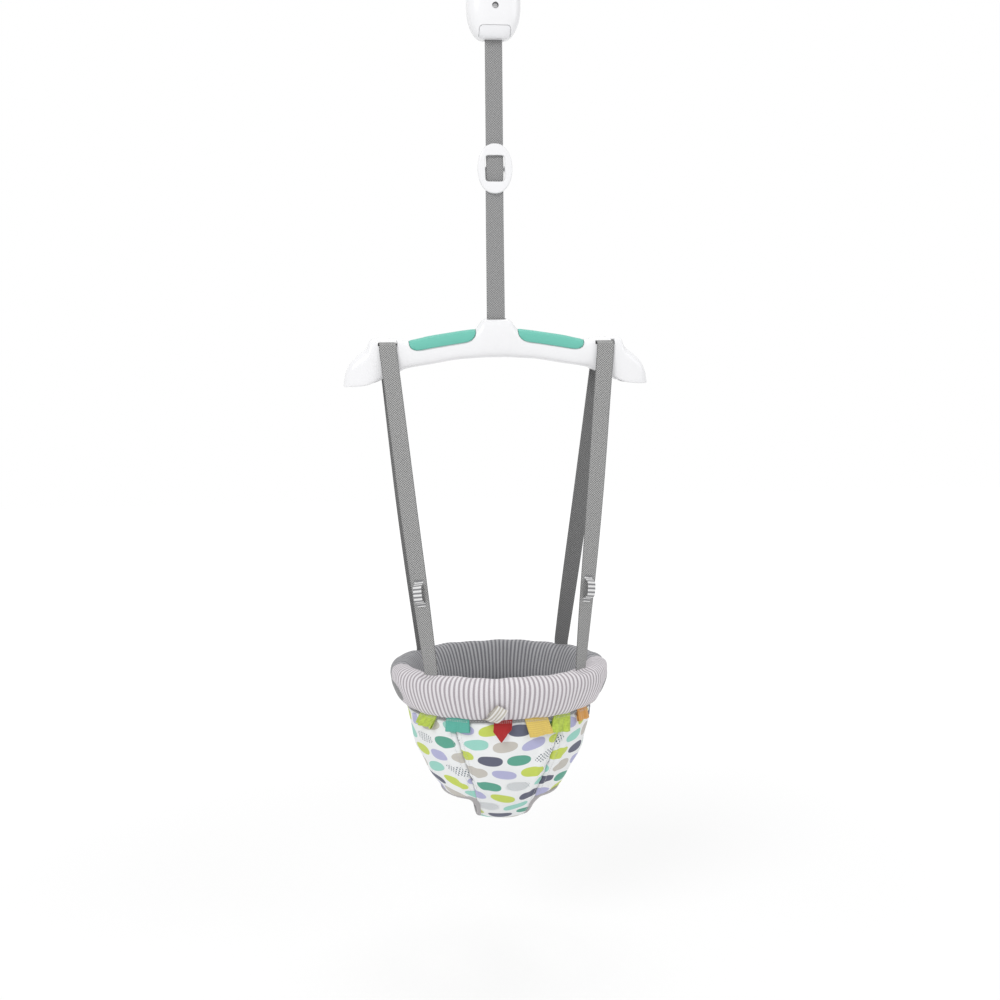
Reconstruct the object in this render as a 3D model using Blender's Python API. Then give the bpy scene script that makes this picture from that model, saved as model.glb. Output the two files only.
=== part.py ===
"""Baby doorway jumper: a door clamp with its bounce spring, an adjustable strap, a spreader bar and a
cloth seat. Metres, +Z up, the front faces -Y. The origin is the middle of the door clamp's grip."""

from math import acos, atan2, copysign, cos, pi, radians, sin, sqrt, tau

import bmesh
import bpy
from mathutils import Matrix, Vector

# Clearances and stock that many pieces share
gap = 0.0003
overrun = 0.006
wall = 0.0025
web_width = 0.025
web_thickness = 0.0016
layer_gap = 0.0004
layer_pitch = web_thickness + layer_gap

# Door clamp: two jaws on one pin above the spring housing
jaw_opening = 0.100
pad_width = 0.060
pad_height = 0.030
pad_thickness = 0.010
pad_bevel = 0.0015
pad_groove_depth = 0.0015
pad_groove_height = 0.002
pad_groove_pitch = 0.006
pad_plate_thickness = 0.004
pivot_drop = 0.112
jaw_reach = 0.088
jaw_path_shares = [(0.16, 0.10), (0.42, 0.20), (0.76, 0.40), (0.96, 0.64), (1.0, 0.82), (0.95, 0.955)]
arm_width = 0.043
arm_web = 0.004
arm_flange = 0.0075
arm_flange_wall = 0.003
knuckle_radius = 0.008
knuckle_width = 0.0056
front_knuckle_x = 0.0188
rear_knuckle_x = 0.0124
jaw_pin_radius = 0.003
jaw_pin_head_radius = 0.005
jaw_pin_head = 0.0015
jaw_spring_wire = 0.0014
jaw_spring_radius = 0.0055
jaw_spring_turns = 5.5
jaw_spring_length = 0.0145
jaw_spring_leg_share = 0.16

# Spring housing
housing_width = 0.076
housing_depth = 0.056
housing_height = 0.138
housing_round = 0.045
housing_foot_width = 0.032
housing_foot_depth = 0.026
housing_top_round = 0.008
housing_power = 3.6
housing_floor = 0.014
pin_rise = 0.015
ear_thickness = 0.005
ear_depth = 0.016
ear_root = 0.002
cover_width = 0.044
cover_height = 0.0165
cover_corner = 0.0045
cover_thickness = 0.0018
guide_wall = 0.0014
guide_room = 0.0008
screw_head_radius = 0.0042
screw_head_height = 0.0022
screw_radius = 0.0016
screw_length = 0.013
screw_recess = 0.0015
screw_sink = 0.003
front_screw_rise = 0.043
front_screw_length = 0.006
rear_screw_x = 0.0245
rear_screw_y = 0.0085
rear_screw_top_share = 0.84
rear_screw_bridge_room = 0.0017
bridge_x = 0.023
bridge_bar = 0.0034
post_radius = 0.0058
bar_post_radius = 0.0054

# Bounce spring, the plate on it and the pin that the strap's end is sewn round
bounce_turns = 9
bounce_turn_points = 8
bounce_wire = 0.0024
bounce_radius = 0.0155
plate_radius = 0.0175
plate_thickness = 0.004
plate_slot_depth = 0.0106
plate_slot_room = 0.001
plate_headroom = 0.0165
strap_pin_radius = 0.0025
strap_pin_length = 0.033
strap_tail = 0.030

# Adjuster buckle on the main strap
buckle_drop = 0.179
buckle_width = 0.050
buckle_height = 0.0705
buckle_window_width = 0.0287
buckle_window_height = 0.037
buckle_thickness = 0.0065
buckle_edge = 0.002
buckle_bar_radius = 0.0022
buckle_post_width = 0.004

# Spreader bar; a station is its place out from the middle, its top and underside, and its half depth
boss_drop = 0.392
bar_half_length = 0.221
bar_height = 0.096
bar_half_depth = 0.0185
bar_power = 3
bar_station_shares = [
    (0.000, 0.000, 0.583, 0.92), (0.063, 0.000, 0.583, 0.92), (0.086, 0.016, 0.585, 0.92),
    (0.113, 0.083, 0.588, 0.89), (0.136, 0.151, 0.592, 0.86), (0.240, 0.187, 0.607, 0.81),
    (0.430, 0.254, 0.676, 0.82), (0.600, 0.323, 0.742, 0.87),
    (0.630, 0.300, 0.775, 0.90), (0.703, 0.288, 0.842, 0.95), (0.783, 0.276, 0.927, 0.98),
    (0.824, 0.300, 0.960, 1.00), (0.850, 0.425, 0.980, 1.00), (0.900, 0.525, 0.995, 0.95),
    (0.955, 0.645, 1.000, 0.82), (0.990, 0.800, 1.000, 0.56),
    (1.000, 0.925, 1.000, 0.36)]
bar_section_points = 16
skirt_power = 12
skirt_start_share = 0.70
skirt_full_share = 0.85
grip_inner_share = 0.141
grip_outer_share = 0.574
grip_thickness = 0.0026
grip_proud = 0.0005
grip_reach_angle = radians(86)
grip_corner_angle = radians(46)
grip_end_power = 9
core_inner_share = 0.10
core_outer_share = 0.62
core_inset = 0.0058
core_points = 8
hollow_outer_share = 0.965
roller_drop = 0.022
roller_radius = 0.005
roller_length = 0.026
roller_pin_radius = 0.0025
roller_pin_length = 0.046
boss_slot_room = 0.0012
boss_slot_half_depth = 0.0092
slot_out_share = 0.71493
slot_drop_share = 0.35417
slot_height = 0.0064
slot_room = 0.0016
slot_swing_room = 0.001
end_pin_radius = 0.004
end_pin_length = 0.036
bar_screw_shares = (0.19, 0.54)
bar_screw_drop_shares = (0.47, 0.53)
bar_screw_length = 0.022
bar_screw_sink = 0.001

# Side straps and their toy loops
strap_clear = 0.0012
strap_lip_drop = 0.009
strap_leg_steps = 12
toy_loop_width = 0.013
toy_loop_thickness = 0.0012
toy_loop_height = 0.038
toy_loop_end = 0.0045
toy_loop_stand = 0.0095
toy_loop_room = 0.0007
toy_loop_share = 0.72

# Seat ring: a padded sleeve, leaning outwards, round a plastic hoop
seat_drop = 0.925
ring_half_width = 0.139
ring_half_depth = 0.125
ring_pad_height = 0.062
ring_pad_thickness = 0.034
ring_lean = radians(22)
ring_power = 2.6
ring_steps = 44
ring_section_points = 16
ring_end_gap_angle = radians(0.3)
hoop_radius = 0.006
hoop_rise = 0.0125
hoop_sides = 6
hoop_room = 0.0018
hoop_strap_room = 0.001
channel_sides = 8
strap_seat_across = 0.112
strap_seat_back = 0.090
strap_seat_tail = 0.040
strap_turn_height_share = 3.2
slit_room = 0.0008
patch_half_width = 0.026
patch_half_height = 0.019
patch_thickness = 0.0012
patch_rings = 2
patch_sides = 16

# Pouch: cloth panels under the ring, with two leg openings
binding_radius = 0.002
pouch_drop = 0.176
pouch_power = 1.6
cloth_thickness = 0.002
seam_gap = 0.0006
panel_top_half_width = 0.078
crotch_half_width = 0.033
panel_power = 3
crotch_angle = radians(26)
leg_angle = radians(36.6)
binding_tuck_angle = radians(6)
panel_columns = 6
lower_rows = 4
crotch_rows = 6
side_columns = 10
side_rows = 7
leg_binding_sides = 5

# Ribbon tags under the ring's front: name, turn from the front in degrees, shares of the tags' width
# and length, and ribbon
tag_width = 0.033
tag_length = 0.032
tag_thickness = 0.0022
tag_columns = 5
tag_rows = 4
tag_curl = 0.002
tag_shares = [
    ("tag_lime_left", -54, 1.0, 0.6, "lime"), ("tag_teal", -32, 1.0, 0.63, "teal"),
    ("tag_red", -4, 0.7, 1.0, "red"), ("tag_yellow", 16, 0.97, 0.84, "yellow"),
    ("tag_lime_right", 35, 0.88, 0.81, "lime"), ("tag_orange", 55, 0.82, 0.56, "orange")]
folded_tag_steps = (-2, -1, 0)
folded_tag_sections = (-2, -1, 0)

# Places that follow from the sizes above
bounce_length = housing_height - wall - housing_floor - plate_thickness - plate_headroom
rear_screw_rises = (front_screw_rise - 2 * post_radius - rear_screw_bridge_room,
                    rear_screw_top_share * housing_height)
slot_out = slot_out_share * bar_half_length
hollow_inner_share = (slot_out + end_pin_length / 2 + gap + wall / 2) / bar_half_length
jaw_pin_z = -pivot_drop
housing_top_z = jaw_pin_z - pin_rise
exit_z = housing_top_z - housing_height
strap_pin_z = exit_z + housing_floor + bounce_length + plate_thickness + gap + strap_pin_radius
buckle_z = exit_z - buckle_drop
boss_z = exit_z - boss_drop
roller_z = boss_z - roller_drop
slot_z = boss_z - slot_drop_share * bar_height
end_pin_wrap = end_pin_radius + gap + web_thickness / 2
end_pin_z = slot_z - end_pin_wrap
ring_z = exit_z - seat_drop
hoop_half_width = ring_half_width + hoop_rise * sin(ring_lean)
hoop_half_depth = ring_half_depth + hoop_rise * sin(ring_lean)
hoop_z = ring_z + hoop_rise * cos(ring_lean)
hoop_wrap = hoop_radius + hoop_strap_room + web_thickness / 2
buckle_bar_y = web_thickness + layer_gap + gap + web_thickness / 2 + buckle_bar_radius
buckle_wrap = buckle_bar_radius + gap + web_thickness / 2


def clear_scene():
    for item in list(bpy.data.objects):
        bpy.data.objects.remove(item, do_unlink=True)


def make_material(name, colour, roughness, metallic=0.0):
    material = bpy.data.materials.new(name)
    material.use_nodes = True
    shader = material.node_tree.nodes["Principled BSDF"]
    shader.inputs["Base Color"].default_value = (*colour, 1)
    shader.inputs["Roughness"].default_value = roughness
    shader.inputs["Metallic"].default_value = metallic
    return material


def make_body(name, parent, place):
    """An empty on the joint's axis, which carries the pieces of one rigid body."""
    body = bpy.data.objects.new(name, None)
    bpy.context.collection.objects.link(body)
    body.location = place
    if parent:
        body.parent = parent
        body.matrix_parent_inverse = Matrix.Translation(-Vector(parent["place"]))
    body["place"] = place
    return body


def add_piece(name, data, body, material, smooth_angle=40):
    """One named sub-part, modelled where it lies and carried by its body."""
    piece = bpy.data.objects.new(name, data)
    bpy.context.collection.objects.link(piece)
    data.materials.append(material)
    piece.parent = body
    piece.matrix_parent_inverse = Matrix.Translation(-Vector(body["place"]))
    if smooth_angle and isinstance(data, bpy.types.Mesh):
        data.shade_smooth()
        data.set_sharp_from_angle(angle=radians(smooth_angle))
    return piece


def add_guide(name, data):
    """A shape that only cuts, joins or bounds others."""
    guide = bpy.data.objects.new(name, data)
    bpy.context.collection.objects.link(guide)
    guide.hide_render = True
    guide.display_type = "WIRE"
    return guide


def combine(target, operation, *tools):
    for tool in tools:
        modifier = target.modifiers.new(tool.name, "BOOLEAN")
        modifier.operation = operation
        modifier.solver = "EXACT"
        modifier.object = tool


def cut(target, *tools):
    combine(target, "DIFFERENCE", *tools)


def join(target, *tools):
    combine(target, "UNION", *tools)


def finish_mesh(name, shape):
    bmesh.ops.recalc_face_normals(shape, faces=shape.faces)
    data = bpy.data.meshes.new(name)
    shape.to_mesh(data)
    shape.free()
    return data


def loft_rings(shape, rings, closed=False):
    """Skin rings of equal length; the ends are filled unless the loft runs into itself."""
    rows = [[shape.verts.new(point) for point in ring] for ring in rings]
    count = len(rows[0])
    spans = len(rows) if closed else len(rows) - 1
    for i in range(spans):
        here = rows[i]
        beyond = rows[(i + 1) % len(rows)]
        for j in range(count):
            k = (j + 1) % count
            shape.faces.new((here[j], here[k], beyond[k], beyond[j]))
    if not closed:
        shape.faces.new(rows[0])
        shape.faces.new(rows[-1])


def loft_mesh(name, rings, closed=False, split=False):
    """A closed loft; `split` fixes each face's diagonal, so a piece and its recess bend alike."""
    shape = bmesh.new()
    loft_rings(shape, rings, closed)
    if split:
        bmesh.ops.triangulate(shape, faces=shape.faces, quad_method="FIXED")
    return finish_mesh(name, shape)


def box_rings(low, high):
    rings = []
    for z in (low[2], high[2]):
        rings.append([Vector((low[0], low[1], z)), Vector((high[0], low[1], z)),
                      Vector((high[0], high[1], z)), Vector((low[0], high[1], z))])
    return rings


def box_mesh(name, low, high):
    return loft_mesh(name, box_rings(low, high))


def round_rings(start, axis, profile, sides):
    """Rings of a turned piece: the profile lists distance along the axis and radius."""
    axis = Vector(axis).normalized()
    first = axis.orthogonal().normalized()
    second = axis.cross(first)
    rings = []
    for distance, radius in profile:
        centre = Vector(start) + axis * distance
        ring = []
        for i in range(sides):
            angle = tau * (i + 0.5) / sides
            ring.append(centre + first * (radius * cos(angle)) + second * (radius * sin(angle)))
        rings.append(ring)
    return rings


def turned_mesh(name, start, axis, profile, sides=24):
    return loft_mesh(name, round_rings(start, axis, profile, sides))


def squircle(angle, half_width, half_height, power):
    """A point of a superellipse: power 2 is an ellipse, higher powers are squarer."""
    c = cos(angle)
    s = sin(angle)
    return (half_width * copysign(abs(c) ** (2 / power), c),
            half_height * copysign(abs(s) ** (2 / power), s))


def smooth_path(points, steps, closed=False):
    """A smooth curve through the points, with the same number of steps in each span."""
    if closed:
        frame = [points[-1]] + list(points) + [points[0], points[1]]
    else:
        frame = [points[0] * 2 - points[1]] + list(points) + [points[-1] * 2 - points[-2]]
    path = []
    for i in range(len(frame) - 3):
        p0, p1, p2, p3 = frame[i:i + 4]
        for j in range(steps):
            t = j / steps
            path.append(0.5 * (2 * p1 + (p2 - p0) * t + (2 * p0 - 5 * p1 + 4 * p2 - p3) * t ** 2
                               + (3 * p1 - p0 - 3 * p2 + p3) * t ** 3))
    if not closed:
        path.append(points[-1].copy())
    return path


def direction_at(path, i, closed=False):
    if closed:
        return (path[(i + 1) % len(path)] - path[i - 1]).normalized()
    return (path[min(i + 1, len(path) - 1)] - path[max(i - 1, 0)]).normalized()


def section_rings(path, across, section, closed=False):
    """Sweep a flat section: its points are (out along `across`, out along the face)."""
    rings = []
    for i, point in enumerate(path):
        along = direction_at(path, i, closed)
        side = across[i] if isinstance(across, list) else across
        side = (side - along * side.dot(along)).normalized()
        face = side.cross(along)
        rings.append([point + side * u + face * v for u, v in section])
    return rings


def band_section(width, thickness):
    return [(-width / 2, -thickness / 2), (width / 2, -thickness / 2),
            (width / 2, thickness / 2), (-width / 2, thickness / 2)]


def band_mesh(name, path, across, width, thickness):
    """A flat strap along a path."""
    return loft_mesh(name, section_rings(path, across, band_section(width, thickness)))


def arc_points(centre, first, second, radius, start, end, steps):
    """Points round a centre from one angle to another, in the plane of two directions."""
    points = []
    for i in range(steps + 1):
        angle = radians(start + (end - start) * i / steps)
        points.append(centre + first * (radius * cos(angle)) + second * (radius * sin(angle)))
    return points


def tube_rings(path, radius, sides, closed=False):
    across = []
    for i in range(len(path)):
        along = direction_at(path, i, closed)
        hint = Vector((0, 0, 1)) if abs(along.z) < 0.9 else Vector((0, 1, 0))
        across.append(along.cross(hint).normalized())
    section = [(radius * cos(tau * j / sides), radius * sin(tau * j / sides)) for j in range(sides)]
    return section_rings(path, across, section, closed)


def wire_curve(name, path, radius):
    """A wire with filled ends along a path."""
    data = bpy.data.curves.new(name, "CURVE")
    data.dimensions = "3D"
    data.bevel_depth = radius
    data.bevel_resolution = 1
    data.use_fill_caps = True
    spline = data.splines.new("POLY")
    spline.points.add(len(path) - 1)
    for point, place in zip(spline.points, path):
        point.co = (*place, 1)
    return data


def sheet_mesh(name, rows, thickness):
    """Cloth through a grid of points, thickened evenly to both sides."""
    shape = bmesh.new()
    faces = []
    for offset in (thickness / 2, -thickness / 2):
        layer = []
        for i, row in enumerate(rows):
            line = []
            for j, point in enumerate(row):
                down = rows[min(i + 1, len(rows) - 1)][j] - rows[max(i - 1, 0)][j]
                over = row[min(j + 1, len(row) - 1)] - row[max(j - 1, 0)]
                line.append(shape.verts.new(point + down.cross(over).normalized() * offset))
            layer.append(line)
        faces.append(layer)
    front, back = faces
    height = len(rows)
    width = len(rows[0])
    for layer in (front, back):
        for i in range(height - 1):
            for j in range(width - 1):
                shape.faces.new((layer[i][j], layer[i][j + 1], layer[i + 1][j + 1], layer[i + 1][j]))
    rim = [(0, j) for j in range(width)] + [(i, width - 1) for i in range(1, height)]
    rim += [(height - 1, j) for j in range(width - 2, -1, -1)] + [(i, 0) for i in range(height - 2, 0, -1)]
    for n, (i, j) in enumerate(rim):
        k, m = rim[(n + 1) % len(rim)]
        shape.faces.new((front[i][j], front[k][m], back[k][m], back[i][j]))
    return finish_mesh(name, shape)


def at(x=0.0, y=0.0, z=0.0):
    return Vector((x, y, z))


along_x = at(x=1)
along_y = at(y=1)
along_z = at(z=1)


def jaw_path(side):
    """The middle of a jaw's arm, from near its pin up to the back of its pad plate."""
    points = [at(y=side * reach * jaw_reach, z=jaw_pin_z + rise * pivot_drop)
              for reach, rise in jaw_path_shares]
    plate_back = jaw_opening / 2 + pad_thickness + gap + pad_plate_thickness
    points.append(at(y=side * (plate_back - pad_bevel / 2)))
    return smooth_path(points, 2)


def slab_mesh(name, side, near, far, width, height, bevel, power=5, sides=16):
    """A plate across Y with rounded corners, between two distances from the middle plane."""
    rings = []
    for distance, inset in ((near, bevel), (near + bevel, 0), (far - bevel, 0), (far, bevel)):
        ring = []
        for i in range(sides):
            x, z = squircle(tau * i / sides, width / 2 - inset, height / 2 - inset, power)
            ring.append(at(x, side * distance, z))
        rings.append(ring)
    return loft_mesh(name, rings)


def make_jaw(name, side, knuckle_x, body, plastic, rubber):
    """An arm with channel walls, its knuckles on the pin, and the rubber pad on its plate."""
    path = jaw_path(side)
    half = arm_width / 2
    lip = half - arm_flange_wall
    web = arm_web / 2
    section = [(-half, -web), (half, -web), (half, arm_flange), (lip, arm_flange),
               (lip, web), (-lip, web), (-lip, arm_flange), (-half, arm_flange)]
    outward = along_x * -side
    arm = add_piece(f"{name}_arm", loft_mesh(name, section_rings(path, outward, section)), body, plastic)
    pin = at(z=jaw_pin_z)
    pad_back = jaw_opening / 2 + pad_thickness
    plate = add_guide(f"{name}_plate", slab_mesh(
        "plate", side, pad_back + gap, pad_back + gap + pad_plate_thickness,
        pad_width, pad_height, pad_bevel / 2))
    join(arm, plate)
    for hand in (-1, 1):
        x = hand * knuckle_x
        start = pin + at(x - knuckle_width / 2)
        knuckle = add_guide(f"{name}_knuckle", turned_mesh(
            "knuckle", start, along_x, [(0, knuckle_radius), (knuckle_width, knuckle_radius)], 12))
        leg = add_guide(f"{name}_leg", band_mesh(
            "leg", [pin + at(x), path[1] + at(x)], along_x, knuckle_width, knuckle_radius * 1.3))
        join(arm, knuckle, leg)
    hole_half = arm_width / 2 + overrun
    cut(arm, add_guide(f"{name}_pin_hole", turned_mesh(
        "hole", pin - at(hole_half), along_x,
        [(0, jaw_pin_radius + gap), (2 * hole_half, jaw_pin_radius + gap)], 12)))
    pad = add_piece(f"{name}_pad", slab_mesh(
        "pad", side, jaw_opening / 2, pad_back, pad_width, pad_height, pad_bevel), body, rubber)
    grip = jaw_opening / 2
    for step in (-1.5, -0.5, 0.5, 1.5):
        z = step * pad_groove_pitch
        ys = sorted((side * (grip - overrun), side * (grip + pad_groove_depth)))
        cut(pad, add_guide(f"{name}_groove", box_mesh(
            "groove", (-pad_width, ys[0], z - pad_groove_height / 2),
            (pad_width, ys[1], z + pad_groove_height / 2))))


def make_jaw_pin(body, metal):
    half = front_knuckle_x + knuckle_width / 2 + 2 * gap + ear_thickness + gap
    profile = [(-jaw_pin_head, jaw_pin_head_radius * 0.8), (-jaw_pin_head / 3, jaw_pin_head_radius),
               (0, jaw_pin_head_radius), (0, jaw_pin_radius), (2 * half, jaw_pin_radius),
               (2 * half, jaw_pin_head_radius), (2 * half + jaw_pin_head / 2, jaw_pin_head_radius),
               (2 * half + jaw_pin_head, jaw_pin_radius)]
    add_piece("jaw_pin", turned_mesh("pin", at(-half, 0, jaw_pin_z), along_x, profile, 12), body, metal)


def make_jaw_spring(body, metal):
    """A torsion spring round the pin; its two legs lie along the arms' inner sides."""
    points_per_turn = 8
    count = round(jaw_spring_turns * points_per_turn)
    middle = at(z=jaw_pin_z)
    coil = []
    for i in range(count + 1):
        angle = pi + tau * i / points_per_turn
        x = jaw_spring_length * (i / count - 0.5)
        coil.append(middle + at(x, jaw_spring_radius * cos(angle), jaw_spring_radius * sin(angle)))
    offset = arm_web / 2 + jaw_spring_wire / 2 + gap
    legs = []
    for side in (-1, 1):
        arm = jaw_path(side)
        leg = []
        for i in (0, round(jaw_spring_leg_share * (len(arm) - 1))):
            along = direction_at(arm, i)
            inward = at(0, -side * along.z, side * along.y)
            leg.append(arm[i] + inward * offset + at(side * jaw_spring_length / 2))
        legs.append(leg)
    path = legs[0][::-1] + coil + legs[1]
    add_piece("jaw_spring", wire_curve("jaw_spring", path, jaw_spring_wire / 2), body, metal)


def housing_section(rise, inset=0.0, sides=28):
    """The housing's outline at a height above the strap's exit, drawn in by `inset`."""
    swell = 1.0
    if rise < housing_round:
        swell = sqrt(1 - (1 - max(rise, 0) / housing_round) ** 2)
    half_width = housing_foot_width / 2 + (housing_width - housing_foot_width) / 2 * swell - inset
    half_depth = housing_foot_depth / 2 + (housing_depth - housing_foot_depth) / 2 * swell - inset
    into_top = rise - (housing_height - housing_top_round)
    if into_top > 0:
        tuck = housing_top_round * (1 - sqrt(max(1 - (into_top / housing_top_round) ** 2, 0)))
        half_width -= tuck
        half_depth -= tuck
    ring = []
    for i in range(sides):
        x, y = squircle(tau * i / sides, half_width, half_depth, housing_power)
        ring.append(at(x, y, exit_z + rise))
    return ring


def housing_form(name, inset, low, high, sides=28):
    rises = [housing_round * (1 - cos(radians(angle))) for angle in (0, 20, 36, 52, 70, 90)]
    rises += [housing_height - housing_top_round * (1 - sin(radians(angle))) for angle in (0, 45, 90)]
    rises = [low] + [rise for rise in rises if low < rise < high] + [high]
    return loft_mesh(name, [housing_section(rise, inset, sides) for rise in rises])


def cover_outline(grow, low, high):
    """The inset cover's shield outline in XZ, swept through Y as a closed block."""
    half = cover_width / 2 + grow
    corner = cover_corner + grow
    top = exit_z + cover_height + grow
    outline = [(-half, exit_z - overrun), (half, exit_z - overrun)]
    for x, start in ((half - corner, 0), (corner - half, 90)):
        for step in range(6):
            angle = radians(start + 18 * step)
            outline.append((x + corner * cos(angle), top - corner + corner * sin(angle)))
    return [[at(x, y, z) for x, z in outline] for y in (low, high)]


def screw_rings(head, axis, length):
    """A pan-head screw with its driving recess, from its head's outer face inwards."""
    profile = [(screw_recess, screw_radius * 0.9), (0, screw_radius * 1.3),
               (screw_head_height * 0.3, screw_head_radius), (screw_head_height, screw_head_radius),
               (screw_head_height, screw_radius), (length, screw_radius)]
    return round_rings(head, axis, profile, 8)


def screw_hole(name, head, axis, length):
    """The counterbore and the hole that a screw sits in."""
    profile = [(-4 * overrun, screw_head_radius + gap), (screw_head_height + gap, screw_head_radius + gap),
               (screw_head_height + gap, screw_radius + gap), (length + gap, screw_radius + gap)]
    return add_guide(name, turned_mesh(name, head, axis, profile, 8))


def housing_screw_places():
    """The head's outer face, the driving direction and the length of each housing screw."""
    front = at(0, screw_sink - housing_depth / 2, exit_z + front_screw_rise)
    places = [(front, along_y, front_screw_length)]
    for hand in (-1, 1):
        for rise in rear_screw_rises:
            head = at(hand * rear_screw_x, rear_screw_y, exit_z + rise)
            places.append((head, -along_y, screw_length))
    return places


def add_post(shell, start, axis, room):
    """A screw's post from its mating face to the wall of its shell."""
    profile = [(0, post_radius), (housing_depth, post_radius)]
    post = add_guide("post", turned_mesh("post", start, axis, profile, 8))
    combine(post, "INTERSECT", room)
    join(shell, post)


def make_housing(body, white, trim, metal):
    """Two shells round the bounce spring, the inset cover, the exit's guide and the screws."""
    outer_depth = housing_depth / 2 + overrun
    outer_width = housing_width / 2 + overrun
    low = exit_z - overrun
    high = jaw_pin_z + knuckle_radius + overrun
    cavity = add_guide("housing_cavity", housing_form(
        "cavity", wall, housing_floor, housing_height - wall, 20))
    front = add_piece("housing_front", housing_form("front", 0, 0, housing_height), body, white)
    rear = add_piece("housing_rear", housing_form("rear", 0, 0, housing_height), body, white)
    cut(front, add_guide("front_room", box_mesh(
        "front_room", (-outer_width, -gap / 2, low), (outer_width, outer_depth, high))), cavity)
    cut(rear, add_guide("rear_room", box_mesh(
        "rear_room", (-outer_width, -outer_depth, low), (outer_width, gap / 2, high))), cavity)

    middle = at(z=jaw_pin_z)
    ear_x = front_knuckle_x + knuckle_width / 2 + 2 * gap
    for hand in (-1, 1):
        xs = sorted((hand * ear_x, hand * (ear_x + ear_thickness)))
        foot = housing_top_z - ear_root
        join(rear, add_guide("ear_block", box_mesh(
            "ear", (xs[0], -ear_depth / 2, foot), (xs[1], ear_depth / 2, jaw_pin_z))))
        ear = [(0, ear_depth / 2), (ear_thickness, ear_depth / 2)]
        join(rear, add_guide("ear_round", turned_mesh("ear_round", middle + at(xs[0]), along_x, ear, 16)))
        cut(front, add_guide("ear_room", box_mesh(
            "ear_room", (xs[0] - gap, -ear_depth / 2 - gap, foot - gap),
            (xs[1] + gap, ear_depth, high))))
    pin_hole = add_guide("ear_pin_hole", turned_mesh(
        "ear_pin_hole", middle - at(outer_width), along_x,
        [(0, jaw_pin_radius + gap), (2 * outer_width, jaw_pin_radius + gap)], 12))
    cut(rear, pin_hole)

    bridge_low = exit_z + front_screw_rise - post_radius
    bridge_high = exit_z + front_screw_rise + post_radius
    bridge_front = -(plate_radius + 2 * gap + bridge_bar)
    bridge_back = housing_depth / 2 - 1.2 * wall
    bridge = bridge_x + bridge_bar / 2
    for hand in (-1, 1):
        xs = sorted((hand * (bridge_x - bridge_bar / 2), hand * bridge))
        join(rear, add_guide("bridge_side", box_mesh(
            "bridge_side", (xs[0], bridge_front, bridge_low), (xs[1], bridge_back, bridge_high))))
    join(rear, add_guide("bridge_bar", box_mesh(
        "bridge_bar", (-bridge, bridge_front, bridge_low),
        (bridge, bridge_front + bridge_bar, bridge_high))))
    post_room = add_guide("post_room", housing_form("post_room", wall / 2, wall, housing_height - wall, 20))
    for hand in (-1, 1):
        for rise in rear_screw_rises:
            for shell, side in ((front, -1), (rear, 1)):
                start = at(hand * rear_screw_x, side * gap / 2, exit_z + rise)
                add_post(shell, start, along_y * side, post_room)
    add_post(front, at(0, bridge_front - gap, exit_z + front_screw_rise), -along_y, post_room)

    for number, (head, axis, length) in enumerate(housing_screw_places()):
        name = f"rear_housing_screw_{number}" if number else "front_housing_screw"
        add_piece(name, loft_mesh(name, screw_rings(head, axis, length)), body, metal)
        hole = screw_hole("housing_screw_hole", head, axis, length)
        cut(front, hole)
        cut(rear, hole)

    cover_back = -housing_foot_depth / 2 + overrun / 2
    pocket = add_guide("cover_pocket", loft_mesh("pocket", cover_outline(gap, -outer_depth, cover_back)))
    cut(pocket, add_guide("pocket_floor", housing_form(
        "pocket_floor", cover_thickness + gap, -overrun, housing_height)))
    cut(front, pocket)
    cover = add_piece("housing_cover", loft_mesh(
        "cover", cover_outline(0, -outer_depth, cover_back - gap)), body, trim)
    combine(cover, "INTERSECT", add_guide("cover_skin", housing_form("cover_skin", 0, gap, housing_height)))
    cut(cover, add_guide("cover_floor", housing_form(
        "cover_floor", cover_thickness, -overrun, housing_height)))

    slot_half_width = web_width / 2 + guide_room
    slot_half_depth = web_thickness / 2 + guide_room
    rings = []
    for rise, flare in ((gap, 1), (gap, 0.4), (housing_floor / 2, 0), (housing_floor - gap, 0)):
        flare_size = flare * guide_room
        rings.append([at(x, y, exit_z + rise) for x, y in (
            (-slot_half_width - flare_size, -slot_half_depth - flare_size),
            (slot_half_width + flare_size, -slot_half_depth - flare_size),
            (slot_half_width + flare_size, slot_half_depth + flare_size),
            (-slot_half_width - flare_size, slot_half_depth + flare_size))])
    bush_width = slot_half_width + guide_wall
    bush_depth = slot_half_depth + guide_wall
    guide = add_piece("strap_guide", box_mesh(
        "guide", (-bush_width, -bush_depth, exit_z + gap),
        (bush_width, bush_depth, exit_z + housing_floor - gap)), body, trim)
    throat = [[point + at(z=-overrun) for point in rings[0]]] + rings[1:]
    throat.append([point + at(z=overrun) for point in rings[-1]])
    cut(guide, add_guide("guide_throat", loft_mesh("throat", throat)))
    bush_room = add_guide("bush_room", box_mesh(
        "bush_room", (-bush_width - gap, -bush_depth - gap, low),
        (bush_width + gap, bush_depth + gap, exit_z + housing_floor + overrun)))
    cut(front, bush_room)
    cut(rear, bush_room)


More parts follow.
